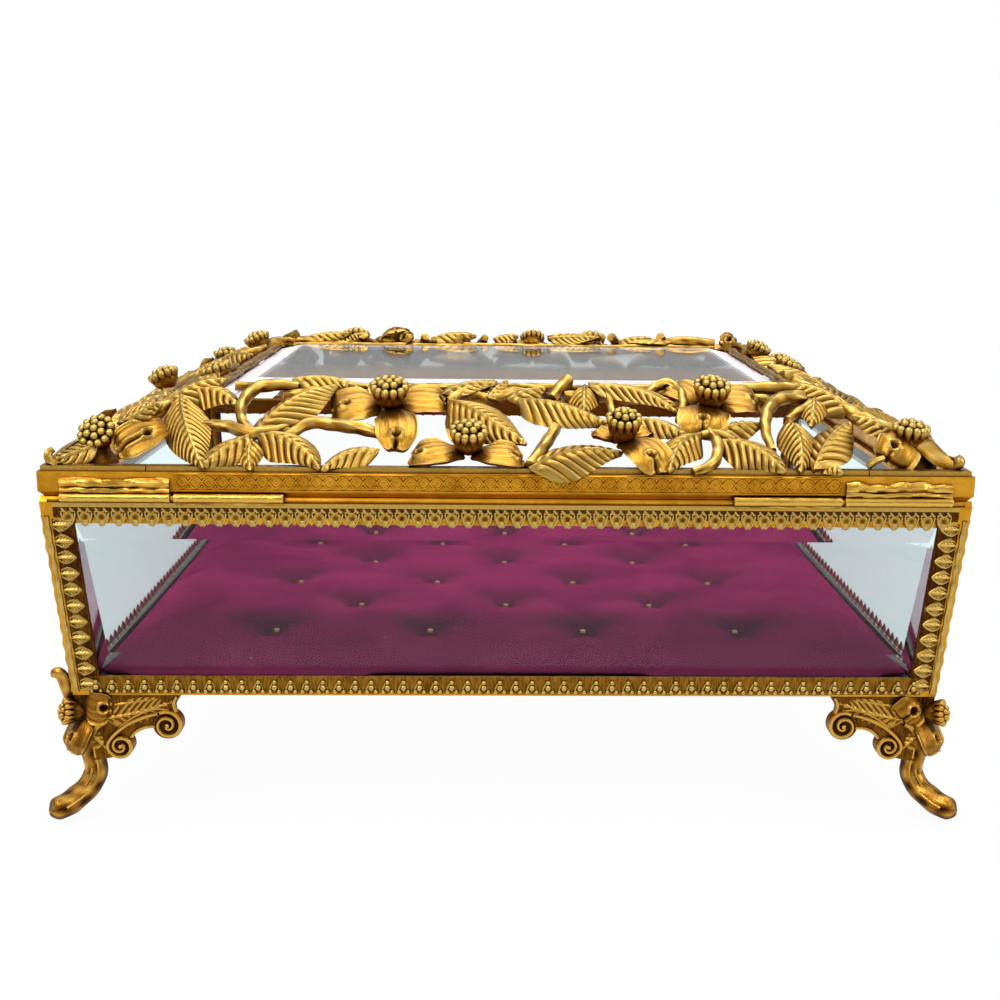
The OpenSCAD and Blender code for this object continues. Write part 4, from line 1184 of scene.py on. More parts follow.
    def build(self) -> None:
        """Make the castings of all four sides."""
        for side in Side:
            half, _ = CASE.half(side)
            cast = Relief()
            f = Foundry(cast, on_slope(side))
            if side.runs_along_x():
                self.long_spray(f)
            else:
                self.short_spray(f, side)
            if side is Side.FRONT:
                self.crest(f)
            reach = half - CASE.slope_run - CASE.seat_inset - 4.2
            f.twig([(reach * u, 43.4 + 0.5 * math.cos(9 * u), 1, 1.3 + 0.2 * math.sin(17 * u))
                    for u in np.linspace(-1, 1, 13)], sides=10)
            self._border(f, side, half)
            finish_piece(cast.build(f"casting_{side.label()}"), Body.LID, self.finishes.casting,
                         [f"filigree_{side.label()}"])

    def _border(self, f: Foundry, side: Side, half: float) -> None:
        """Add the flat strip that carries the spray along the rim."""
        _, away = CASE.half(side)
        strip = Foundry(f.cast, lambda p: turned(p, side.value))
        outer = -away + CASE.border_inset
        end = half - CASE.corner_reach - CASE.corner_gap
        strip.bar((-end, outer, CASE.rim_top),
                  (end, outer + CASE.border_w, CASE.rim_top + CASE.border_t), BORDER_SHINE)


@dataclass
class CornerFlowers:
    """The cast flowers on the lid's corners, each with a twig up the mitre."""

    finishes: Finishes

    def _twig(self, f: Foundry) -> None:
        """Model the twig that covers the mitre."""
        rise = math.tan(CASE.slope)
        f.facing(-0.4, -0.4, 0.8).twig([
            (inset, inset, CASE.rim_top + (rise * (inset - CASE.seat_inset) + above), radius)
            for inset, above, radius in (
                (10, 3.2, 2.2), (14, 2.4, 2.1), (18, 2, 2), (22, 2.2, 2.3), (26, 2, 2.3),
                (30, 2.6, 2), (34, 2.6, 2.1), (38, 2.4, 1.9), (41, 2.2, 1.8))],
            sides=16, bark=0.1, steps=6)

    def _round_flower(self, f: Foundry) -> None:
        """Model the flower whose berry looks outward over a striated bract."""
        top = CASE.rim_top
        f.berry((14.6, 13.6, top + 6), 5.2, 7.8, axis=(-0.15, -0.72, 0.6))
        for swap in (False, True):
            (way,) = swapped([(-0.1, -0.75, 0.6)], swap)
            f.facing(*way).petal(*swapped([(32, 11.5, top + 11.2), (19, 5.6, top + 4.6)], swap),
                                 11.5, lift=1.2, pit=0.34, side=0.1)
        f.facing(-0.1, -0.8, 0.5).leaf(
            (19, 12, top + 11), (28.5, 13.5, top + 17), 7.5, lift=1, bend=-0.8)
        f.facing(-0.3, -0.6, 0.7).leaf((20, 16, top + 12.5), (30, 19, top + 16), 6.5)
        for swap in (False, True):
            (way,) = swapped([(-0.2, -0.8, 0.55)], swap)
            f.facing(*way).leaf(*swapped([(14.5, 8, top + 6.4), (3, 3.2, top + 2.6)], swap),
                                6.4, lift=1, bend=-0.9 if swap else 0.9, curl=0.5, rib_mm=2.4)
        f.facing(-0.3, -0.8, 0.4).twig([
            (4.6, 3, top + 1.2, 1.2), (2.8, 2.8, top + 2.6, 1.35), (2.6, 3, top + 4.4, 1.2),
            (3.8, 3.6, top + 5.4, 0.9)], sides=10)

    def _standing_flower(self, f: Foundry) -> None:
        """Model the flower with an upright berry, a hanging bract and a curled strap."""
        top = CASE.rim_top
        f.berry((15.2, 12.6, top + 4.6), 5.3, 9.6, axis=(-0.05, -0.12, 1))
        out, aside = f.facing(-0.05, -0.85, 0.5), f.facing(-0.85, -0.05, 0.5)
        bract = [(17.4, 9.8, top + 9.8), (22.6, 5.2, top + 1.8)]
        strap = [(12.6, 9.5, top + 7.6, 2.4), (10, 7.6, top + 5.4, 2.5),
                 (7.2, 5.6, top + 3.4, 2.2), (4.6, 4.4, top + 3.2, 1.7)]
        out.petal(*bract, 13, lift=1.6, pit=0.42, side=0.2, roll=0.9)
        aside.petal(*swapped(bract, True), 13, lift=1.6, pit=0.42, side=-0.2, roll=0.9)
        out.twig(strap, flat=0.42, bark=0.03)
        out.twig([(4.6, 4.4, top + 1.9, 1.2), (3.4, 4, top + 3.4, 1.7),
                  (4.2, 4.2, top + 4.8, 1.2)], bark=0.03)
        aside.twig(swapped(strap, True), flat=0.42, bark=0.03)
        f.facing(-0.3, -0.6, 0.7).leaf((19, 15, top + 9.5), (30, 19, top + 14), 7)
        out.line([
            (24, 5.4, top + 4.2, 0.9), (26.6, 4.8, top + 3.4, 1.2), (28.4, 4.6, top + 1.8, 1)])

    def build(self) -> None:
        """Make the flowers of the four corners."""
        for corner in Corner:
            cast = Relief()
            f = Foundry(cast, at_corner(corner, 0), (-0.4, -0.4, 0.82))
            top = CASE.rim_top
            self._twig(f)
            if corner in (Corner.BACK_LEFT, Corner.FRONT_RIGHT):
                self._round_flower(f)
            else:
                self._standing_flower(f)
            f.lathe((12.6, 12.6, top + 0.02), (0, 0, 1), [
                (5.8, 0, 0.1), (5.4, 1.4, 0.15), (4, 3.4, 0.1), (3.4, 6, 0.1), (3.4, 8, 0.05)], 16,
                dent=0.05)
            f.twig([(24, 24, top + 9.6, 1.2), (28, 27, top + 13, 1.4)])
            out = f.facing(-0.1, -0.5, 0.85)
            out.leaf((28, 26.5, top + 13.4), (44, 38, top + 20.4), 11.5, lift=2, bend=1.5)
            out.leaf((27, 27.5, top + 13), (37, 43, top + 19.4), 9.5, lift=1.6, bend=-1.5)
            low, high = CASE.border_inset, CASE.border_inset + CASE.border_w
            reach = CASE.corner_reach - CASE.corner_gap
            for swap in (False, True):
                f.bar(*swapped([(high if swap else low, low, top),
                                (reach, high, top + CASE.border_t)], swap), BORDER_SHINE)
            finish_piece(cast.build(f"flower_{corner.label()}"), Body.LID, self.finishes.casting,
                         [f"corner_flower_{corner.label()}"])


@dataclass
class Feet:
    """The four cast feet: scrolled brackets, a berry with bracts, and a fluted leg on a knob."""

    finishes: Finishes

    def _scroll(self, wall: Foundry, centre: tuple[float, float], radius: float, turns: float,
                start: float, hand: int) -> None:
        """Model one spiral of a bracket.

        Args:
            wall: Foundry whose coordinates are along the wall, height from the seat, and outward.
            centre: Middle of the spiral.
            radius: Outer radius.
            turns: Turns from the rim to the eye.
            start: Angle at the rim, in degrees.
            hand: 1 to wind counter-clockwise, -1 clockwise.
        """
        wall.lathe((*centre, -3.9), (0, 0, 1), [
            (radius, 0, 0.1), (radius, 3.2, 0.4), (radius - 0.35, 3.75, 0.35),
            (radius - 0.9, 3.5, 0.12), (0.6, 3.3, 0.1)], 28)
        places = []
        for share in np.linspace(0, 1, int(13 * turns)):
            angle = math.radians(start) + hand * share * turns * 2 * math.pi
            away = (radius - 0.55) * (1 - share) ** 0.8 + 0.5
            places.append((centre[0] + away * math.cos(angle), centre[1] + away * math.sin(angle),
                           -0.25 + 0.35 * share, 0.62 - 0.12 * share))
        wall.line(places, proud=0.85, steps=3)
        wall.bead((*centre, 0.1), 0.75)

    def _bracket(self, wall: Foundry, plain: bool) -> None:
        """Model the bracket along one wall.

        Args:
            wall: Foundry whose coordinates are along the wall, height from the seat, and outward.
            plain: True where the flower's bract is drawn open, False where it curls.
        """
        body = spline([(0, 0), (15, 0), (29.5, 0), (29.3, -1.6), (28.2, -3.6), (28, -6.5),
                       (24, -10.5), (20.5, -9.6), (17.4, -11), (15, -13.5), (12, -18),
                       (7, -19.6), (3, -19), (0, -12)], 5)[:-1]
        body = body[body[:, 1] <= 0.01]     # what the curve swings above the seat is left out
        wall.plate(np.minimum(body, (29.6, 0)), -3.4, -0.55, proud=0.22)
        self._scroll(wall, (26, -9.2), 4.25, 1.7, 118, -1)
        self._scroll(wall, (12.5, -15.5), 3.6, 1.6, 200, 1)
        # the raised edges of the band that runs from one scroll to the other
        for proud, places in (
                (0.9, [(23.4, -5.8, -0.3, 0.5), (20, -6.6, -0.15, 0.62), (15, -8.8, -0.1, 0.68),
                       (11, -11.9, -0.1, 0.7), (9, -14.8, -0.15, 0.68), (9.3, -17.4, -0.25, 0.6)]),
                (0.75, [(22.4, -9.6, -0.5, 0.5), (19.4, -9.9, -0.4, 0.55),
                        (16.9, -11.2, -0.4, 0.55), (15.6, -12.8, -0.45, 0.5)]),
                (0.8, [(28.9, -0.6, -0.6, 0.5), (27.9, -2.8, -0.5, 0.55),
                       (28.6, -5.2, -0.4, 0.6)]),
                (0.6, [(26.6, -4.6, -0.6, 0.4), (22.5, -4.4, -0.5, 0.45),
                       (17.5, -6.2, -0.45, 0.5), (12.5, -9.6, -0.45, 0.45)])):
            wall.line(places, proud)
        # acanthus that fills the top, its veins drawn out along the wall
        wall.leaf((8.6, -7.2, -0.6), (28.4, -2, -0.9), 8.2, lift=0.5, bend=-0.6, rib_mm=2.3,
                  high=0.6, arch=0.06)
        wall.leaf(
            (11.5, -3.2, -0.8), (25.5, -0.9, -1), 4.2, lift=0.3, rib_mm=2.2, high=0.6, arch=0.05)
        if plain:
            wall.petal((4.2, -1.6, -0.2), (10.6, -7.6, -0.1), 10.2, lift=1.1, pit=0.35, side=-0.1,
                       roll=0.7)
        else:
            wall.petal(
                (2.4, -3.2, -0.2), (11, -4.6, -0.2), 9.8, lift=1.3, pit=0.72, side=0.1, roll=0.8)
        wall.line([(8.2, -8.4, -0.3, 0.9), (6.2, -9.6, 0.1, 1.1), (5.4, -11.6, -0.1, 0.9)])

    def _leg(self, f: Foundry) -> None:
        """Model the fluted leg, its collar and its knob."""
        h = CASE.foot_h
        # inward along both walls, share of the foot's height, radius
        leg = [(s, share * h, r) for s, share, r in (
            (4, 0.62, 3.9), (3.4, 0.55, 3.5), (3.6, 0.47, 3.3), (4.1, 0.38, 3.2),
            (3.9, 0.29, 3.2), (2.3, 0.205, 3.3), (-0.5, 0.145, 3.4), (-3.2, 0.11, 3.45),
            (-4.9, 0.102, 3.2), (-5.8, 0.1, 2.15), (-6.2, 0.102, 1))]
        f.facing(-0.6, -0.6, 0.5).twig([(s, s, z, r) for s, z, r in leg], sides=22, bark=0.025,
                                       steps=6, proud=0.35)
        # the edges of the flutes down the front of the leg
        out, cross = unit(np.array([-0.62, -0.62, 0.48])), unit(np.array([0.7, -0.7, 0]))
        for turn in (-1.2, -0.6, 0, 0.6, 1.2):
            way = math.cos(turn) * out + math.sin(turn) * cross
            f.line([(*(np.array([s, s, z]) + (r - 0.12) * way), 0.42) for s, z, r in leg[1:8]],
                   proud=0.85)
        f.facing(-0.7, -0.7, 0.1).twig([
            (9.2, 3, 0.60 * h, 1), (4.8, 1.4, 0.56 * h, 1.3), (1.4, 4.8, 0.56 * h, 1.3),
            (3, 9.2, 0.60 * h, 1)], sides=10, bark=0.04, proud=0.7)
        # the scroll that caps the toe
        f.facing(-0.5, -0.5, 0.7).line([
            (-1.6, -5.4, 4.4, 0.5), (-2.2, -3.6, 6, 0.7), (-3.6, -2.2, 6, 0.7),
            (-5.4, -1.6, 4.4, 0.6), (-6.9, -3.4, 3.4, 0.5), (-6.4, -5.6, 3.2, 0.5),
            (-4.6, -6.6, 3.4, 0.45)], proud=0.9)

    def build(self) -> None:
        """Make the feet of the four corners."""
        seat = CASE.foot_h
        for corner in Corner:
            cast = Relief()
            place = at_corner(corner, CASE.wall_lean)
            f = Foundry(cast, place, (-0.7, -0.7, 0.2))
            open_bract = corner in (Corner.BACK_RIGHT, Corner.FRONT_LEFT)
            for swap in (False, True):
                def on_bracket(p: Array, swap: bool = swap) -> Array:
                    """Place coordinates along the wall, below the seat and outward."""
                    along, out = p[..., 0], -p[..., 2]
                    pair = (out, along) if swap else (along, out)
                    return place(np.stack([*pair, seat + p[..., 1]], -1))

                self._bracket(Foundry(cast, on_bracket), open_bract != swap)
            self._leg(f)
            f.lathe((4.6, 4.6, 0.58 * seat), (0, 0, 1), [
                (3.4, 0, 0.1), (4.4, 5, 0.2), (4.6, 10, 0.2), (4.4, 0.42 * seat - 0.05, 0.1)], 16)
            f.berry((2.6, 1.8, seat - 5.4), 3.8, 7.4, axis=(-0.88, -0.45, 0.14))
            f.facing(-0.7, -0.7, 0.1).petal((1.8, 1.8, seat - 6), (-2.4, -2.4, seat - 16.6), 12.5,
                                            lift=0.4, pit=0.6, roll=0.9, cup=-0.2)
            for swap in (False, True):
                way, *ends = swapped([(-0.2, -1, 0.1), (2.4, 0.2, seat - 9.5),
                                      (8.8, 0.6, seat - 16.6)], swap)
                f.facing(*way).leaf(*ends, 5.2, lift=0.5, rib_mm=2.2, high=0.6)
            if corner in (Corner.BACK_LEFT, Corner.FRONT_RIGHT):
                f.facing(-0.3, -1, 0.2).twig([
                    (-0.4, 3.6, seat - 5, 1.5), (-2, 3.4, seat - 1, 2), (-2.9, 3, seat + 3, 2.1),
                    (-4.3, 2.6, seat + 5.4, 1.8), (-5.6, 2.5, seat + 5.6, 1.2),
                    (-5.9, 2.5, seat + 4.4, 0.8)], sides=14, bark=0.06, flat=0.7, proud=0.6)
            # the feet take the darker copy of the gilding: painted shade for the less light they get
            finish_piece(cast.build(f"scrolled_foot_{corner.label()}"), Body.BASE,
                         self.finishes.worn, [f"foot_{corner.label()}"])


@dataclass
class Galleries:
    """Stamped gallery strips round each pane: beads, hearts and leaf-shaped teeth."""

    finishes: Finishes
    bottom_h: float = 4.6
    top_h: float = 7.6
    band_side: float = 7.0
    tooth_h: float = 2.5
    tooth_pitch: float = 4.5
    strip_w: float = 2.0
    lid_gap: float = 0.2
    chamfer: float = 1.3

    def build(self) -> None:
        """Make the reliefs of the four strips."""
        tall = CASE.base_h / math.cos(CASE.lean) - self.lid_gap
        low, high = self.bottom_h - self.tooth_h / 2, tall - self.top_h
        for side in Side:
            half, _ = CASE.half(side)

            def half_at(y: float, half: float = half) -> float:
                """Return half the wall's width at a height up the wall."""
                return half - CASE.lean_at(CASE.foot_h + y * math.cos(CASE.lean))

            cast = Relief()
            f = Foundry(cast, on_wall(side))
            low_half = half_at(low) - self.band_side
            high_half = half_at(high) - self.band_side
            self._bottom(f, low_half, half_at(0) - self.strip_w - 0.4, low, side is Side.BACK)
            self._top(f, high_half, half_at(tall) - self.strip_w - 1.6, high, tall)
            for hand in (-1, 1):
                self._flank(f, hand, (low_half, low), (high_half, high))
            finish_piece(cast.build(f"gallery_relief_{side.label()}"), Body.BASE,
                         self.finishes.casting)

    def _bottom(self, f: Foundry, half: float, reach: float, low: float, backed: bool) -> None:
        """Model the bottom strip: ribbed points with three beads, dots between them.

        Args:
            f: Foundry whose coordinates are along the wall, up it and outward.
            half: Half the length that the points fill.
            reach: Half the strip's length.
            low: Middle of the points' height.
            backed: True where a dark strip fills the gaps between the points, False where
                the points' tips stand free against the glass.
        """
        f.bar((-reach + 2.2, 0.5, -0.75),
              (reach - 2.2, low + 2.4 if backed else low - 1.2, 0.03), 0.2)
        count = round(2 * half / self.tooth_pitch)
        for i in range(count + 1):
            x = -half + 2 * half * i / count
            f.bead((x, low + 0.75, 0.2), 0.78)
            f.bead((x, low - 0.75, 0.3), 1)
            for hand in (-1, 1):
                f.bead((x + hand * 1.2, low - 2, 0.2), 0.72)
                f.line([(x + hand * 1.75, low - 2.5, -0.05, 0.3), (x + hand, low - 0.6, 0.05, 0.3),
                        (x + hand * 0.3, low + 1, 0.05, 0.26)], proud=0.85, sides=5, steps=2)
            if i < count:
                f.bead((x + half / count, low - 2.3, -0.1), 0.4, 0.3)
            if not backed:
                f.line([(x, low + 0.8, -0.35, 0.95), (x, low + 2.2, -0.35, 0.75),
                        (x, low + 3.9, -0.35, 0.1)], proud=0.15, sides=6, steps=2)

    def _top(self, f: Foundry, half: float, reach: float, high: float, tall: float) -> None:
        """Model the top strip: a bead row, paired hearts and round-tipped points."""
        edge = tall - self.chamfer
        f.bar((-reach, high + 2.1, -0.75), (reach, edge - 0.2, 0.03), 0.04)
        f.bar((-reach, edge - 1.3, -0.6), (reach, edge - 0.05, 0.14), 0.72)
        count = round(2 * half / self.tooth_pitch)
        for i in range(count + 1):
            x = -half + 2 * half * i / count
            for step in (-0.25, 0.25):
                f.line([(x + self.tooth_pitch * step - 0.45, edge - 1.5, 0, 0.4),
                        (x + self.tooth_pitch * step + 0.45, edge - 2.6, 0.05, 0.5)],
                       proud=0.95, sides=6, steps=2)
            f.lathe((x, high + 2.2, -0.75), (0, 0, 1), [
                (1.75, 0, 0.1), (1.7, 0.75, 0.45), (1.35, 1, 0.9), (0.7, 0.85, 0.25),
                (0.3, 0.8, 0.1)], 12)
            f.lathe((x, high + 0.6, -0.7), (0, 0, 1), [
                (1.05, 0, 0.1), (1, 0.7, 0.5), (0.6, 1, 1), (0.2, 1.05, 1)], 10)
            for hand in (-1, 1):
                f.line([(x + hand * 1.9, high + 3.4, -0.05, 0.3),
                        (x + hand * 1.35, high + 1.2, 0, 0.32),
                        (x + hand * 0.3, high - 0.3, -0.05, 0.3)], proud=0.8, sides=5, steps=2)
                f.line([
                    (x + hand * 0.25, high + 3.3, 0, 0.34), (x + hand, high + 4.2, 0.05, 0.36),
                    (x + hand * 1.9, high + 3.6, 0, 0.3)], proud=0.7, sides=5, steps=2)

    def _flank(self, f: Foundry, hand: int, low: tuple[float, float],
               high: tuple[float, float]) -> None:
        """Model one upright strip: leaf-shaped teeth on a dark ground."""
        rise = math.hypot(high[0] - low[0], high[1] - low[1])
        count = round(rise / self.tooth_pitch)
        ground = [(low[0] + 4.6, low[1] - 1.5), (low[0] - 1.4, low[1] - 1.5),
                  (high[0] - 1.4, high[1] + 1.5), (high[0] + 4.6, high[1] + 1.5)]
        f.plate(np.array([(hand * x, y) for x, y in ground]), -0.75, 0.03, 0.03)
        ridge = []
        for i in range(2 * count + 3):
            share = (i - 1) / (2 * count)
            x, y = (a + (b - a) * share for a, b in zip(low, high))
            ridge.append((hand * (x + 5.7), y, -0.15, 0.62 if i % 2 else 0.95))
            if i % 2 and i < 2 * count + 2:
                self._tooth(f, hand, x, y)
        f.twig(ridge, sides=8, bark=0.08, steps=3, proud=0.75)

    def _tooth(self, f: Foundry, hand: int, x: float, y: float) -> None:
        """Model one leaf-shaped tooth that points at the glass."""
        f.leaf((hand * (x + 4.3), y, 0), (hand * (x - 0.5), y, 0.1), 3.8, lift=0.5,
               rib_mm=1.5, high=0.25, arch=0.12)
        for turn in (-1, 1):
            f.line([(hand * (x + 4.2), y + turn * 0.9, -0.1, 0.3),
                    (hand * (x + 2.4), y + turn * 1.75, 0.05, 0.38),
                    (hand * (x + 0.5), y + turn * 0.95, 0.1, 0.34),
                    (hand * (x - 0.6), y, 0.1, 0.28)], proud=0.95, sides=5, steps=2)
        f.bead((hand * (x + 3.9), y, 0.1), 0.55)


@dataclass
class RimOrnament:
    """The embossed band on the lid's rim, and the tubes of the hinges with their solder."""

    finishes: Finishes
    band_low: float = 2.3        # above the joint
    band_high: float = 6.2
    repeat: float = 3.6
    band_end: float = 90.2       # on the hinged side, short of the lid's tubes
    end_gap: float = 7.0         # on the other sides
    lid_tube: tuple[float, float] = (91.4, 121.0)
    base_tube: tuple[float, float] = (61.0, 90.6)

    def build(self) -> None:
        """Make the band of each side, and the hinges' tubes."""
        for side in Side:
            cast = Relief()
            half, away = CASE.half(side)

            def on_face(p: Array, away: float = away, side: Side = side) -> Array:
                """Place coordinates along the face, above the joint and outward."""
                return turned(np.stack([p[..., 0], -away - p[..., 2],
                                        CASE.joint_z + p[..., 1]], -1), side.value)

            f = Foundry(cast, on_face)
            self._band(f, self.band_end if side is Side.BACK else half - self.end_gap)
            finish_piece(cast.build(f"rim_band_{side.label()}"), Body.LID, self.finishes.sheet)
            if side is Side.BACK:
                self._hinges(on_face)

    def _band(self, f: Foundry, reach: float) -> None:
        """Model a chain of lozenges and dots between two fine borders."""
        middle = (self.band_low + self.band_high) / 2
        tall = (self.band_high - self.band_low) / 2
        for y in (self.band_low - 0.3, self.band_high + 0.25):
            f.line([(-reach, y, 0, 0.3), (0, y, 0, 0.3), (reach, y, 0, 0.3)], proud=0.6)
        count = int(2 * reach / self.repeat)
        pitch = 2 * reach / count
        for i in range(count):
            x = -reach + pitch * (i + 0.5)
            left, right, rise = x - 0.5 * pitch, x + 0.5 * pitch, 0.85 * tall
            f.line([
                (left, middle, 0, 0.35), (x, middle + rise, 0.05, 0.35), (right, middle, 0, 0.35),
                (x, middle - rise, 0.05, 0.35), (left, middle, 0, 0.35)], proud=0.5, steps=2)
            f.bead((x, middle, 0), 0.45, 0.6)
            for hand in (-1, 1):
                f.bead((right, middle + hand * 0.62 * tall, 0), 0.42, 0.6)

    def _hinges(self, on_face: Place) -> None:
        """Make the tubes of the hinges, with the rough solder that holds them."""
        near, far = self.lid_tube
        for hand, word in ((-1, "left"), (1, "right")):
            cast = Relief()
            f = Foundry(cast, on_face)
            self._tube(f, hand * near, hand * far)
            for height, out, size in ((2, 0.7, 0.85), (4, 0.5, 1.35)):
                places = []
                for share in np.linspace(0, 1, 19):
                    x = hand * (near + 0.2 + (far - near - 0.4) * share)
                    wave = math.sin(11 * share + hand) + 0.6 * math.sin(31 * share + height)
                    places.append((x, height + 0.12 * wave, out - 0.35, size * (1 + 0.12 * wave)))
                f.twig(places, sides=9, bark=0.09, steps=4, proud=0.5)
            finish_piece(cast.build(f"lid_hinge_knuckle_{word}"), Body.LID,
                         self.finishes.polished, [f"hinge_tube_lid_{word}"])
            cast = Relief()
            f = Foundry(cast, on_face)
            start, end = self.base_tube
            self._tube(f, hand * start, hand * end)
            f.twig([(hand * x, -1.55, -0.05, 0.5) for x in np.linspace(start + 0.4, end - 0.4, 9)],
                   sides=8, bark=0.1, steps=4, proud=0.35)
            finish_piece(cast.build(f"base_hinge_knuckle_{word}"), Body.BASE,
                         self.finishes.polished, [f"hinge_tube_base_{word}"])

    @staticmethod
    def _tube(f: Foundry, start: float, end: float) -> None:
        """Model one drawn tube on the hinge's axis, its ends a little belled."""
        long = abs(end - start)
        half = [(0.75, 0, 0.1), (1.2, 0.05, 0.5), (1.3, 0.5, 0.9), (1.24, 1.2, 0.8)]
        profile = half + [(r, long - along, proud) for r, along, proud in half[::-1]]
        f.lathe((start, 0, 0.6), (math.copysign(1, end - start), 0, 0), profile, 28)


@dataclass(frozen=True)
class Grinding:
    """How a pane's bevel is ground, in millimetres."""

    rise: float      # width along the top and the bottom
    end: float       # width along the two ends
    edge: float      # thickness left at the edge


@dataclass
class Panes:
    """The four wall panes and the lid's thick glass, each ground to a wide bevel."""

    finishes: Finishes
    depth: float = 2.0124        # outer face, behind the wall's face
    side_inset: float = 5.3124
    bottom: float = 1.5
    tall: float = 54.8
    thick: float = 3.0
    long_wall: Grinding = Grinding(10.6, 5.1, 1.3)
    short_wall: Grinding = Grinding(4.5, 4.5, 2.2)
    lid_bevel: float = 9.5
    lid_drop: float = 2.8        # height of the lid glass's bevel

    def build(self) -> None:
        """Make the panes."""
        for side in Side:
            self._wall_pane(side)
        self._lid_glass()

    @staticmethod
    def _block(name: str, corners: Sequence[Sequence[Point]], place: Place) -> Object:
        """Make a faceted block.

        Args:
            name: Name of the piece.
            corners: Loops of four corners: the back, the edge and the face.
            place: Placing of the corners.

        Returns:
            The block.
        """
        rows = np.array(corners)
        cast = Relief()
        cast.loft(place(rows), np.zeros(rows.shape[:2]), rows)
        return cast.build(name, 3)

    def _wall_pane(self, side: Side) -> None:
        """Make the pane of one wall."""
        half, _ = CASE.half(side)
        low, high = (half - CASE.wall_lean * (1 - y / CASE.base_h) - self.side_inset
                     for y in (self.bottom, self.bottom + self.tall))
        ground, glass = ((self.long_wall, self.finishes.pane) if side.runs_along_x()
                         else (self.short_wall, self.finishes.side_pane))
        loops = []
        for rise, end, out in ((0, 0, -self.thick), (0, 0, ground.edge - self.thick),
                               (ground.rise, ground.end, 0)):
            y0, y1, out = self.bottom + rise, self.bottom + self.tall - rise, out - self.depth
            loops.append([(-low + end, y0, out), (low - end, y0, out), (high - end, y1, out),
                          (-high + end, y1, out)])
        piece = self._block(f"bevelled_pane_{side.label()}", loops, on_wall(side))
        finish_piece(piece, Body.BASE, glass, [f"glass_{side.label()}"])

    def _lid_glass(self) -> None:
        """Make the lid's thick glass, whose bevel has a painted white reflection of its own."""
        (x0, y0, z0), (x1, y1, z1) = (np.array(corner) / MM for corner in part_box("lid_glass"))
        loops = []
        for inset, z in ((0, z0), (0, z1 - self.lid_drop), (self.lid_bevel, z1)):
            loops.append([(x0 + inset, y0 + inset, z), (x1 - inset, y0 + inset, z),
                          (x1 - inset, y1 - inset, z), (x0 + inset, y1 - inset, z)])
        piece = self._block("bevelled_lid_glass", loops, lambda p: p)
        finish_piece(piece, Body.LID, self.finishes.glass, ["lid_glass"])
        piece.data.materials.append(self.finishes.bevel)
        for face in piece.data.polygons:
            face.material_index = int(0.5 < face.normal.z < 0.99)


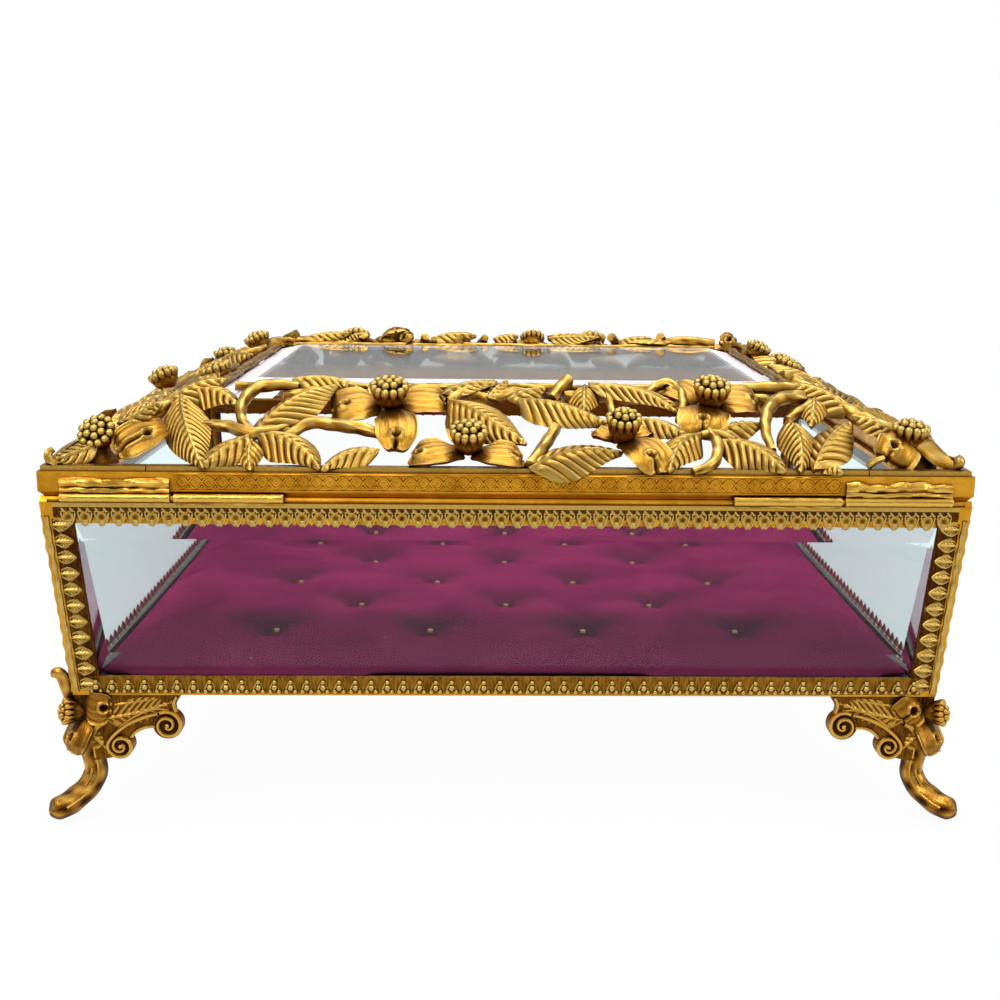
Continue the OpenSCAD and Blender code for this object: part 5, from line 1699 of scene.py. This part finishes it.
@dataclass
class Cushion:
    """The velvet pad on the floor, pinned down at its tufts and filled until it swells."""

    finishes: Finishes
    bottom: float = 39.62
    edge_top: float = 42.6
    highest: float = 47.6
    crown: float = 4.4
    crown_run: float = 15.0      # how far in from the edge the crown rises
    tuft_z: float = 43.9
    dimple_r: float = 7.5
    tuft_r: float = 3.2          # what a tuft's thread holds still
    inset: float = 5.8           # of the unfilled pad, from the case's side
    filled_inset: float = 5.65   # of the filled one
    pitch_x: float = 47.0
    pitch_y: float = 27.0
    pinch: float = 1.5           # depth of the thread's own dent
    pleat_depth: float = 0.9     # beside the tuft, where a pleat is deepest
    voxel: float = 4.5
    frames: int = 20
    pressure: float = 4.0
    swell_cap: float = 1.6

    def tufts(self) -> Array:
        """Return the middles of the tufts."""
        rows = []
        for row in range(-2, 3):
            y = row * self.pitch_y - self.pitch_y / 4
            for step in ((-1.5, -0.5, 0.5, 1.5) if row % 2 == 0 else (-1, 0, 1)):
                rows.append((step * self.pitch_x, y))
        return np.array(rows)

    def _top_at(self, x: Array, y: Array, half: Array) -> Array:
        """Return the height of the unfilled top at x, y of a pad of half that width and depth."""
        near_edge = np.minimum(half[0] - np.abs(x), half[1] - np.abs(y))
        crown = self.crown * (1 - np.exp(-np.maximum(near_edge, 0) / self.crown_run))
        top, sunk = self.edge_top + crown, self.edge_top + self.crown - self.tuft_z
        for tx, ty in self.tufts():
            top = top - sunk * np.exp(-(np.hypot(x - tx, y - ty) / self.dimple_r) ** 2)
        return top

    def _reach(self, inset: float) -> Array:
        """Return half the pad's width and depth at an inset from the case's sides."""
        return np.array([CASE.case_w, CASE.case_d]) / 2 - CASE.lean_at(self.bottom) - inset

    def _blank_pad(self) -> Object:
        """Return the unfilled pad as a closed mesh."""
        half = self._reach(self.inset)
        us, vs = np.linspace(-1, 1, 79), np.linspace(-1, 1, 63)
        u, v = np.meshgrid(us, vs, indexing="ij")
        # round the corners a little and let the sides pull in between them
        x = u * half[0] * (1 - 0.012 * (1 - v ** 2)) * (1 - 0.02 * smoothstep(np.abs(v), .9, 1))
        y = v * half[1] * (1 - 0.012 * (1 - u ** 2)) * (1 - 0.02 * smoothstep(np.abs(u), .9, 1))
        top = self._top_at(x, y, half)
        rim = np.maximum(np.abs(u), np.abs(v)) > 0.9999
        top = np.where(rim, self.edge_top - 1.2, top)
        cast = Relief()
        n, m = x.shape
        points = np.vstack([np.stack([x, y, z], -1).reshape(-1, 3)
                            for z in (top, np.full_like(x, self.bottom))])
        at = np.arange(n * m).reshape(n, m)
        quads = np.stack([at[:-1, :-1], at[1:, :-1], at[1:, 1:], at[:-1, 1:]], -1).reshape(-1, 4)
        loop = np.concatenate([at[:-1, 0], at[-1, :-1], at[:0:-1, -1], at[0, :0:-1]])
        after = np.roll(loop, -1)
        walls = np.stack([loop, n * m + loop, n * m + after, after], -1)
        cast.add(points, [quads, quads[:, ::-1] + n * m, walls], np.zeros(len(points)),
                 np.zeros((len(points), 3)))
        return cast.build("cushion_blank", 180)

    @staticmethod
    def _applied(piece: Object, name: str) -> Object:
        """Return a new object with the piece's modifiers applied, and drop the old one."""
        graph = bpy.context.evaluated_depsgraph_get()
        mesh = bpy.data.meshes.new_from_object(piece.evaluated_get(graph))
        mesh.name = name
        made = linked(name, mesh)
        bpy.data.objects.remove(piece)
        return made

    @staticmethod
    def _points(piece: Object) -> Array:
        """Return the piece's points as rows of x, y, z, in metres."""
        points = np.empty(len(piece.data.vertices) * 3)
        piece.data.vertices.foreach_get("co", points)
        return points.reshape(-1, 3)

    def _filled(self, blank_pad: Object) -> Object:
        """Return the pad after the cloth has swelled between its tufts."""
        remesh = blank_pad.modifiers.new("remesh", "REMESH")
        remesh.mode, remesh.voxel_size = "VOXEL", self.voxel * MM
        pad = self._applied(blank_pad, "cushion_pad")
        before = self._points(pad)
        tied = before[:, 2] < (self.bottom + 1.0) * MM
        for tx, ty in self.tufts():
            tied |= np.hypot(before[:, 0] / MM - tx, before[:, 1] / MM - ty) < self.tuft_r
        group = pad.vertex_groups.new(name="tied")
        group.add([int(i) for i in np.flatnonzero(tied)], 1.0, "REPLACE")
        cloth = pad.modifiers.new("cloth", "CLOTH")
        cloth.settings.vertex_group_mass = "tied"
        cloth.settings.use_pressure = True
        cloth.settings.uniform_pressure_force = self.pressure
        cloth.settings.effector_weights.gravity = 0.0
        cloth.settings.quality = 6
        cloth.point_cache.frame_start, cloth.point_cache.frame_end = 1, self.frames
        for number in range(1, self.frames + 1):
            bpy.context.scene.frame_set(number)
        pad = self._applied(pad, "cushion_pad")
        move = self._points(pad) - before
        size = np.linalg.norm(move, axis=1, keepdims=True)
        move = move * np.minimum(1.0, self.swell_cap * MM / np.maximum(size, 1e-9))
        pad.data.vertices.foreach_set("co", (before + move).ravel())
        bpy.context.scene.frame_set(1)
        return pad

    def _settled(self, pad: Object) -> None:
        """Keep the pad in its own space, press the tufts' pleats into it and store its painted shade.
        """
        p = self._points(pad) / MM
        upper = smoothstep(p[:, 2], self.edge_top - 1.0, self.edge_top + 1.0)
        # painted shade: darker towards the front, round each tuft, in the pleats, and on the slopes
        # that face the back
        pressed = 0.7 * smoothstep(-p[:, 1], 10.0, 95.0)
        for tx, ty in self.tufts():
            away = np.hypot(p[:, 0] - tx, p[:, 1] - ty)
            p[:, 2] -= self.pinch * np.exp(-(away / 2.2) ** 2) * upper
            # pleats toward the neighbouring tufts
            turn = np.arctan2((p[:, 1] - ty) / self.pitch_y, 2 * (p[:, 0] - tx) / self.pitch_x)
            pleat = np.exp(-((np.abs(np.sin(2 * turn)) - 1) / 0.16) ** 2)
            p[:, 2] -= self.pleat_depth * pleat * np.exp(-((away - 4) / 8.0) ** 2) * upper
            # painted shade on the slope behind each tuft
            slope = ((p[:, 0] - tx) / 15.5) ** 2 + ((p[:, 1] - ty - 5.5) / 7.5) ** 2
            pressed += (0.5 * np.exp(-(away / 3.0) ** 2) + 0.3 * pleat * np.exp(-(away / 10) ** 2)
                        + 0.55 * np.exp(-slope))
        p[:, :2] *= self._reach(self.filled_inset) / np.abs(p[:, :2]).max(axis=0)
        p[:, 2] = np.clip(p[:, 2], self.bottom, self.highest)
        pad.data.vertices.foreach_set("co", (p * MM).ravel())
        # painted shade, which the velvet's finish reads
        shade = pad.data.attributes.new("pressed", "FLOAT", "POINT")
        shade.data.foreach_set("value", np.clip(pressed, 0, 1))
        pad.data.update()

    def build(self) -> None:
        """Make the cushion."""
        pad = self._blank_pad()
        pad = self._filled(pad)
        smooth = pad.modifiers.new("smooth", "SUBSURF")
        smooth.levels = smooth.render_levels = 1
        pad = self._applied(pad, "tufted_cushion")
        self._settled(pad)
        pad.data.polygons.foreach_set("use_smooth", np.ones(len(pad.data.polygons), bool))
        finish_piece(pad, Body.BASE, self.finishes.velvet, ["velvet_cushion"])


@dataclass
class Studio:
    """Camera, lamps, floor and surroundings."""

    camera_at: tuple[float, float, float] = (-5.27, -456.53, 171.68)
    pitch: float = 12.307
    yaw: float = 1.512
    roll: float = 0.671
    lens: float = 48.26
    shift_x: float = -0.025
    shift_y: float = -0.0006

    def camera(self) -> None:
        """Set the camera at the viewing angle."""
        pitch, yaw, roll = (math.radians(v) for v in (self.pitch, self.yaw, self.roll))
        ahead = np.array([math.sin(yaw) * math.cos(pitch), math.cos(yaw) * math.cos(pitch),
                          -math.sin(pitch)])
        right = np.array([math.cos(yaw), -math.sin(yaw), 0.0])
        up = np.cross(right, ahead)
        level, plumb = (right * math.cos(roll) + up * math.sin(roll),
                        -right * math.sin(roll) + up * math.cos(roll))
        data = bpy.data.cameras.new("camera")
        data.lens, data.shift_x, data.shift_y = self.lens, self.shift_x, self.shift_y
        data.clip_start, data.clip_end = 0.01, 20
        made = linked("camera", data)
        turn = Matrix([[level[i], plumb[i], -ahead[i]] for i in range(3)]).to_4x4()
        made.matrix_world = Matrix.Translation([v * MM for v in self.camera_at]) @ turn
        bpy.context.scene.camera = made

    def lamps(self) -> None:
        """Hang large soft lamps round the box."""
        for name, at, size, power, colour in (
                ("lamp_key", (-0.55, -0.75, 0.95), 0.7, 5.6, "#fff6e8"),
                ("lamp_fill", (0.85, -0.5, 0.55), 0.6, 3.0, "#f4f8ff"),
                ("lamp_top", (0.1, 0.25, 1.1), 0.8, 5.5, "#ffffff")):
            data = bpy.data.lights.new(name, "AREA")
            data.shape, data.size, data.energy = "DISK", size, power
            data.color = linear(colour)[:3]
            made = linked(name, data)
            made.location = at
            direction = Vector((0, 0, 0.06)) - Vector(at)
            made.rotation_euler = direction.to_track_quat("-Z", "Y").to_euler()

    def floor(self) -> None:
        """Lay the pale floor, which shows a painted shadow of the object."""
        mesh = bpy.data.meshes.new("floor")
        mesh.from_pydata([(-4, -4, 0), (4, -4, 0), (4, 4, 0), (-4, 4, 0)], [], [(0, 1, 2, 3)])
        made = linked("floor", mesh)
        made.location.z = -0.0002
        mesh.materials.append(FloorPaper("floor_paper").material())

    def surroundings(self) -> None:
        """Make the white backdrop and what polished metal mirrors."""
        world = bpy.data.worlds.new("studio")
        world.use_nodes = True
        bpy.context.scene.world = world
        tree = world.node_tree
        tree.nodes.clear()
        rays = node(tree, "LightPath")
        axes = node(tree, "SeparateXYZ", {0: node(tree, "TexCoord").outputs["Generated"]})
        height = node(tree, "MapRange", {
            "Value": axes.outputs["Z"], "From Min": 0.1, "From Max": 0.75, "To Min": 0.24,
            "To Max": 0.95}, interpolation_type="SMOOTHSTEP")
        mirrored = node(tree, "Background", {"Color": linear("#ffffff"), "Strength": height})
        soft = node(tree, "Background", {"Color": linear("#f6f8ff"), "Strength": 0.62})
        white = node(tree, "Background", {"Color": linear("#ffffff"), "Strength": 1.0})
        seen = node(tree, "Math", {
            0: rays.outputs["Is Camera Ray"], 1: rays.outputs["Is Transmission Ray"]},
            operation="MAXIMUM")
        mixed = node(tree, "MixShader", {0: rays.outputs["Is Glossy Ray"], 1: soft, 2: mirrored})
        mixed = node(tree, "MixShader", {0: seen, 1: mixed, 2: white})
        node(tree, "OutputWorld", {"Surface": mixed})
        bpy.context.scene.view_settings.view_transform = "Standard"

    def build(self) -> None:
        """Set up the whole studio."""
        self.camera()
        self.lamps()
        self.floor()
        self.surroundings()


def dress_frame(finishes: Finishes) -> None:
    """Give every CAD node that stays in view its own finish."""
    soft = {"cushion_board": finishes.card, "tuft_stitches": finishes.thread}
    for name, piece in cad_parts.items():
        dress(piece, soft.get(name, finishes.sheet))


def main() -> None:
    """Build the box's visible pieces in order."""
    logging.basicConfig(level=logging.INFO, format="%(name)s %(message)s")
    Studio().build()
    finishes = Finishes.make()
    dress_frame(finishes)
    LidCastings(finishes).build()
    CornerFlowers(finishes).build()
    Feet(finishes).build()
    Galleries(finishes).build()
    RimOrnament(finishes).build()
    Panes(finishes).build()
    Cushion(finishes).build()


if __name__ == "__main__":
    main()
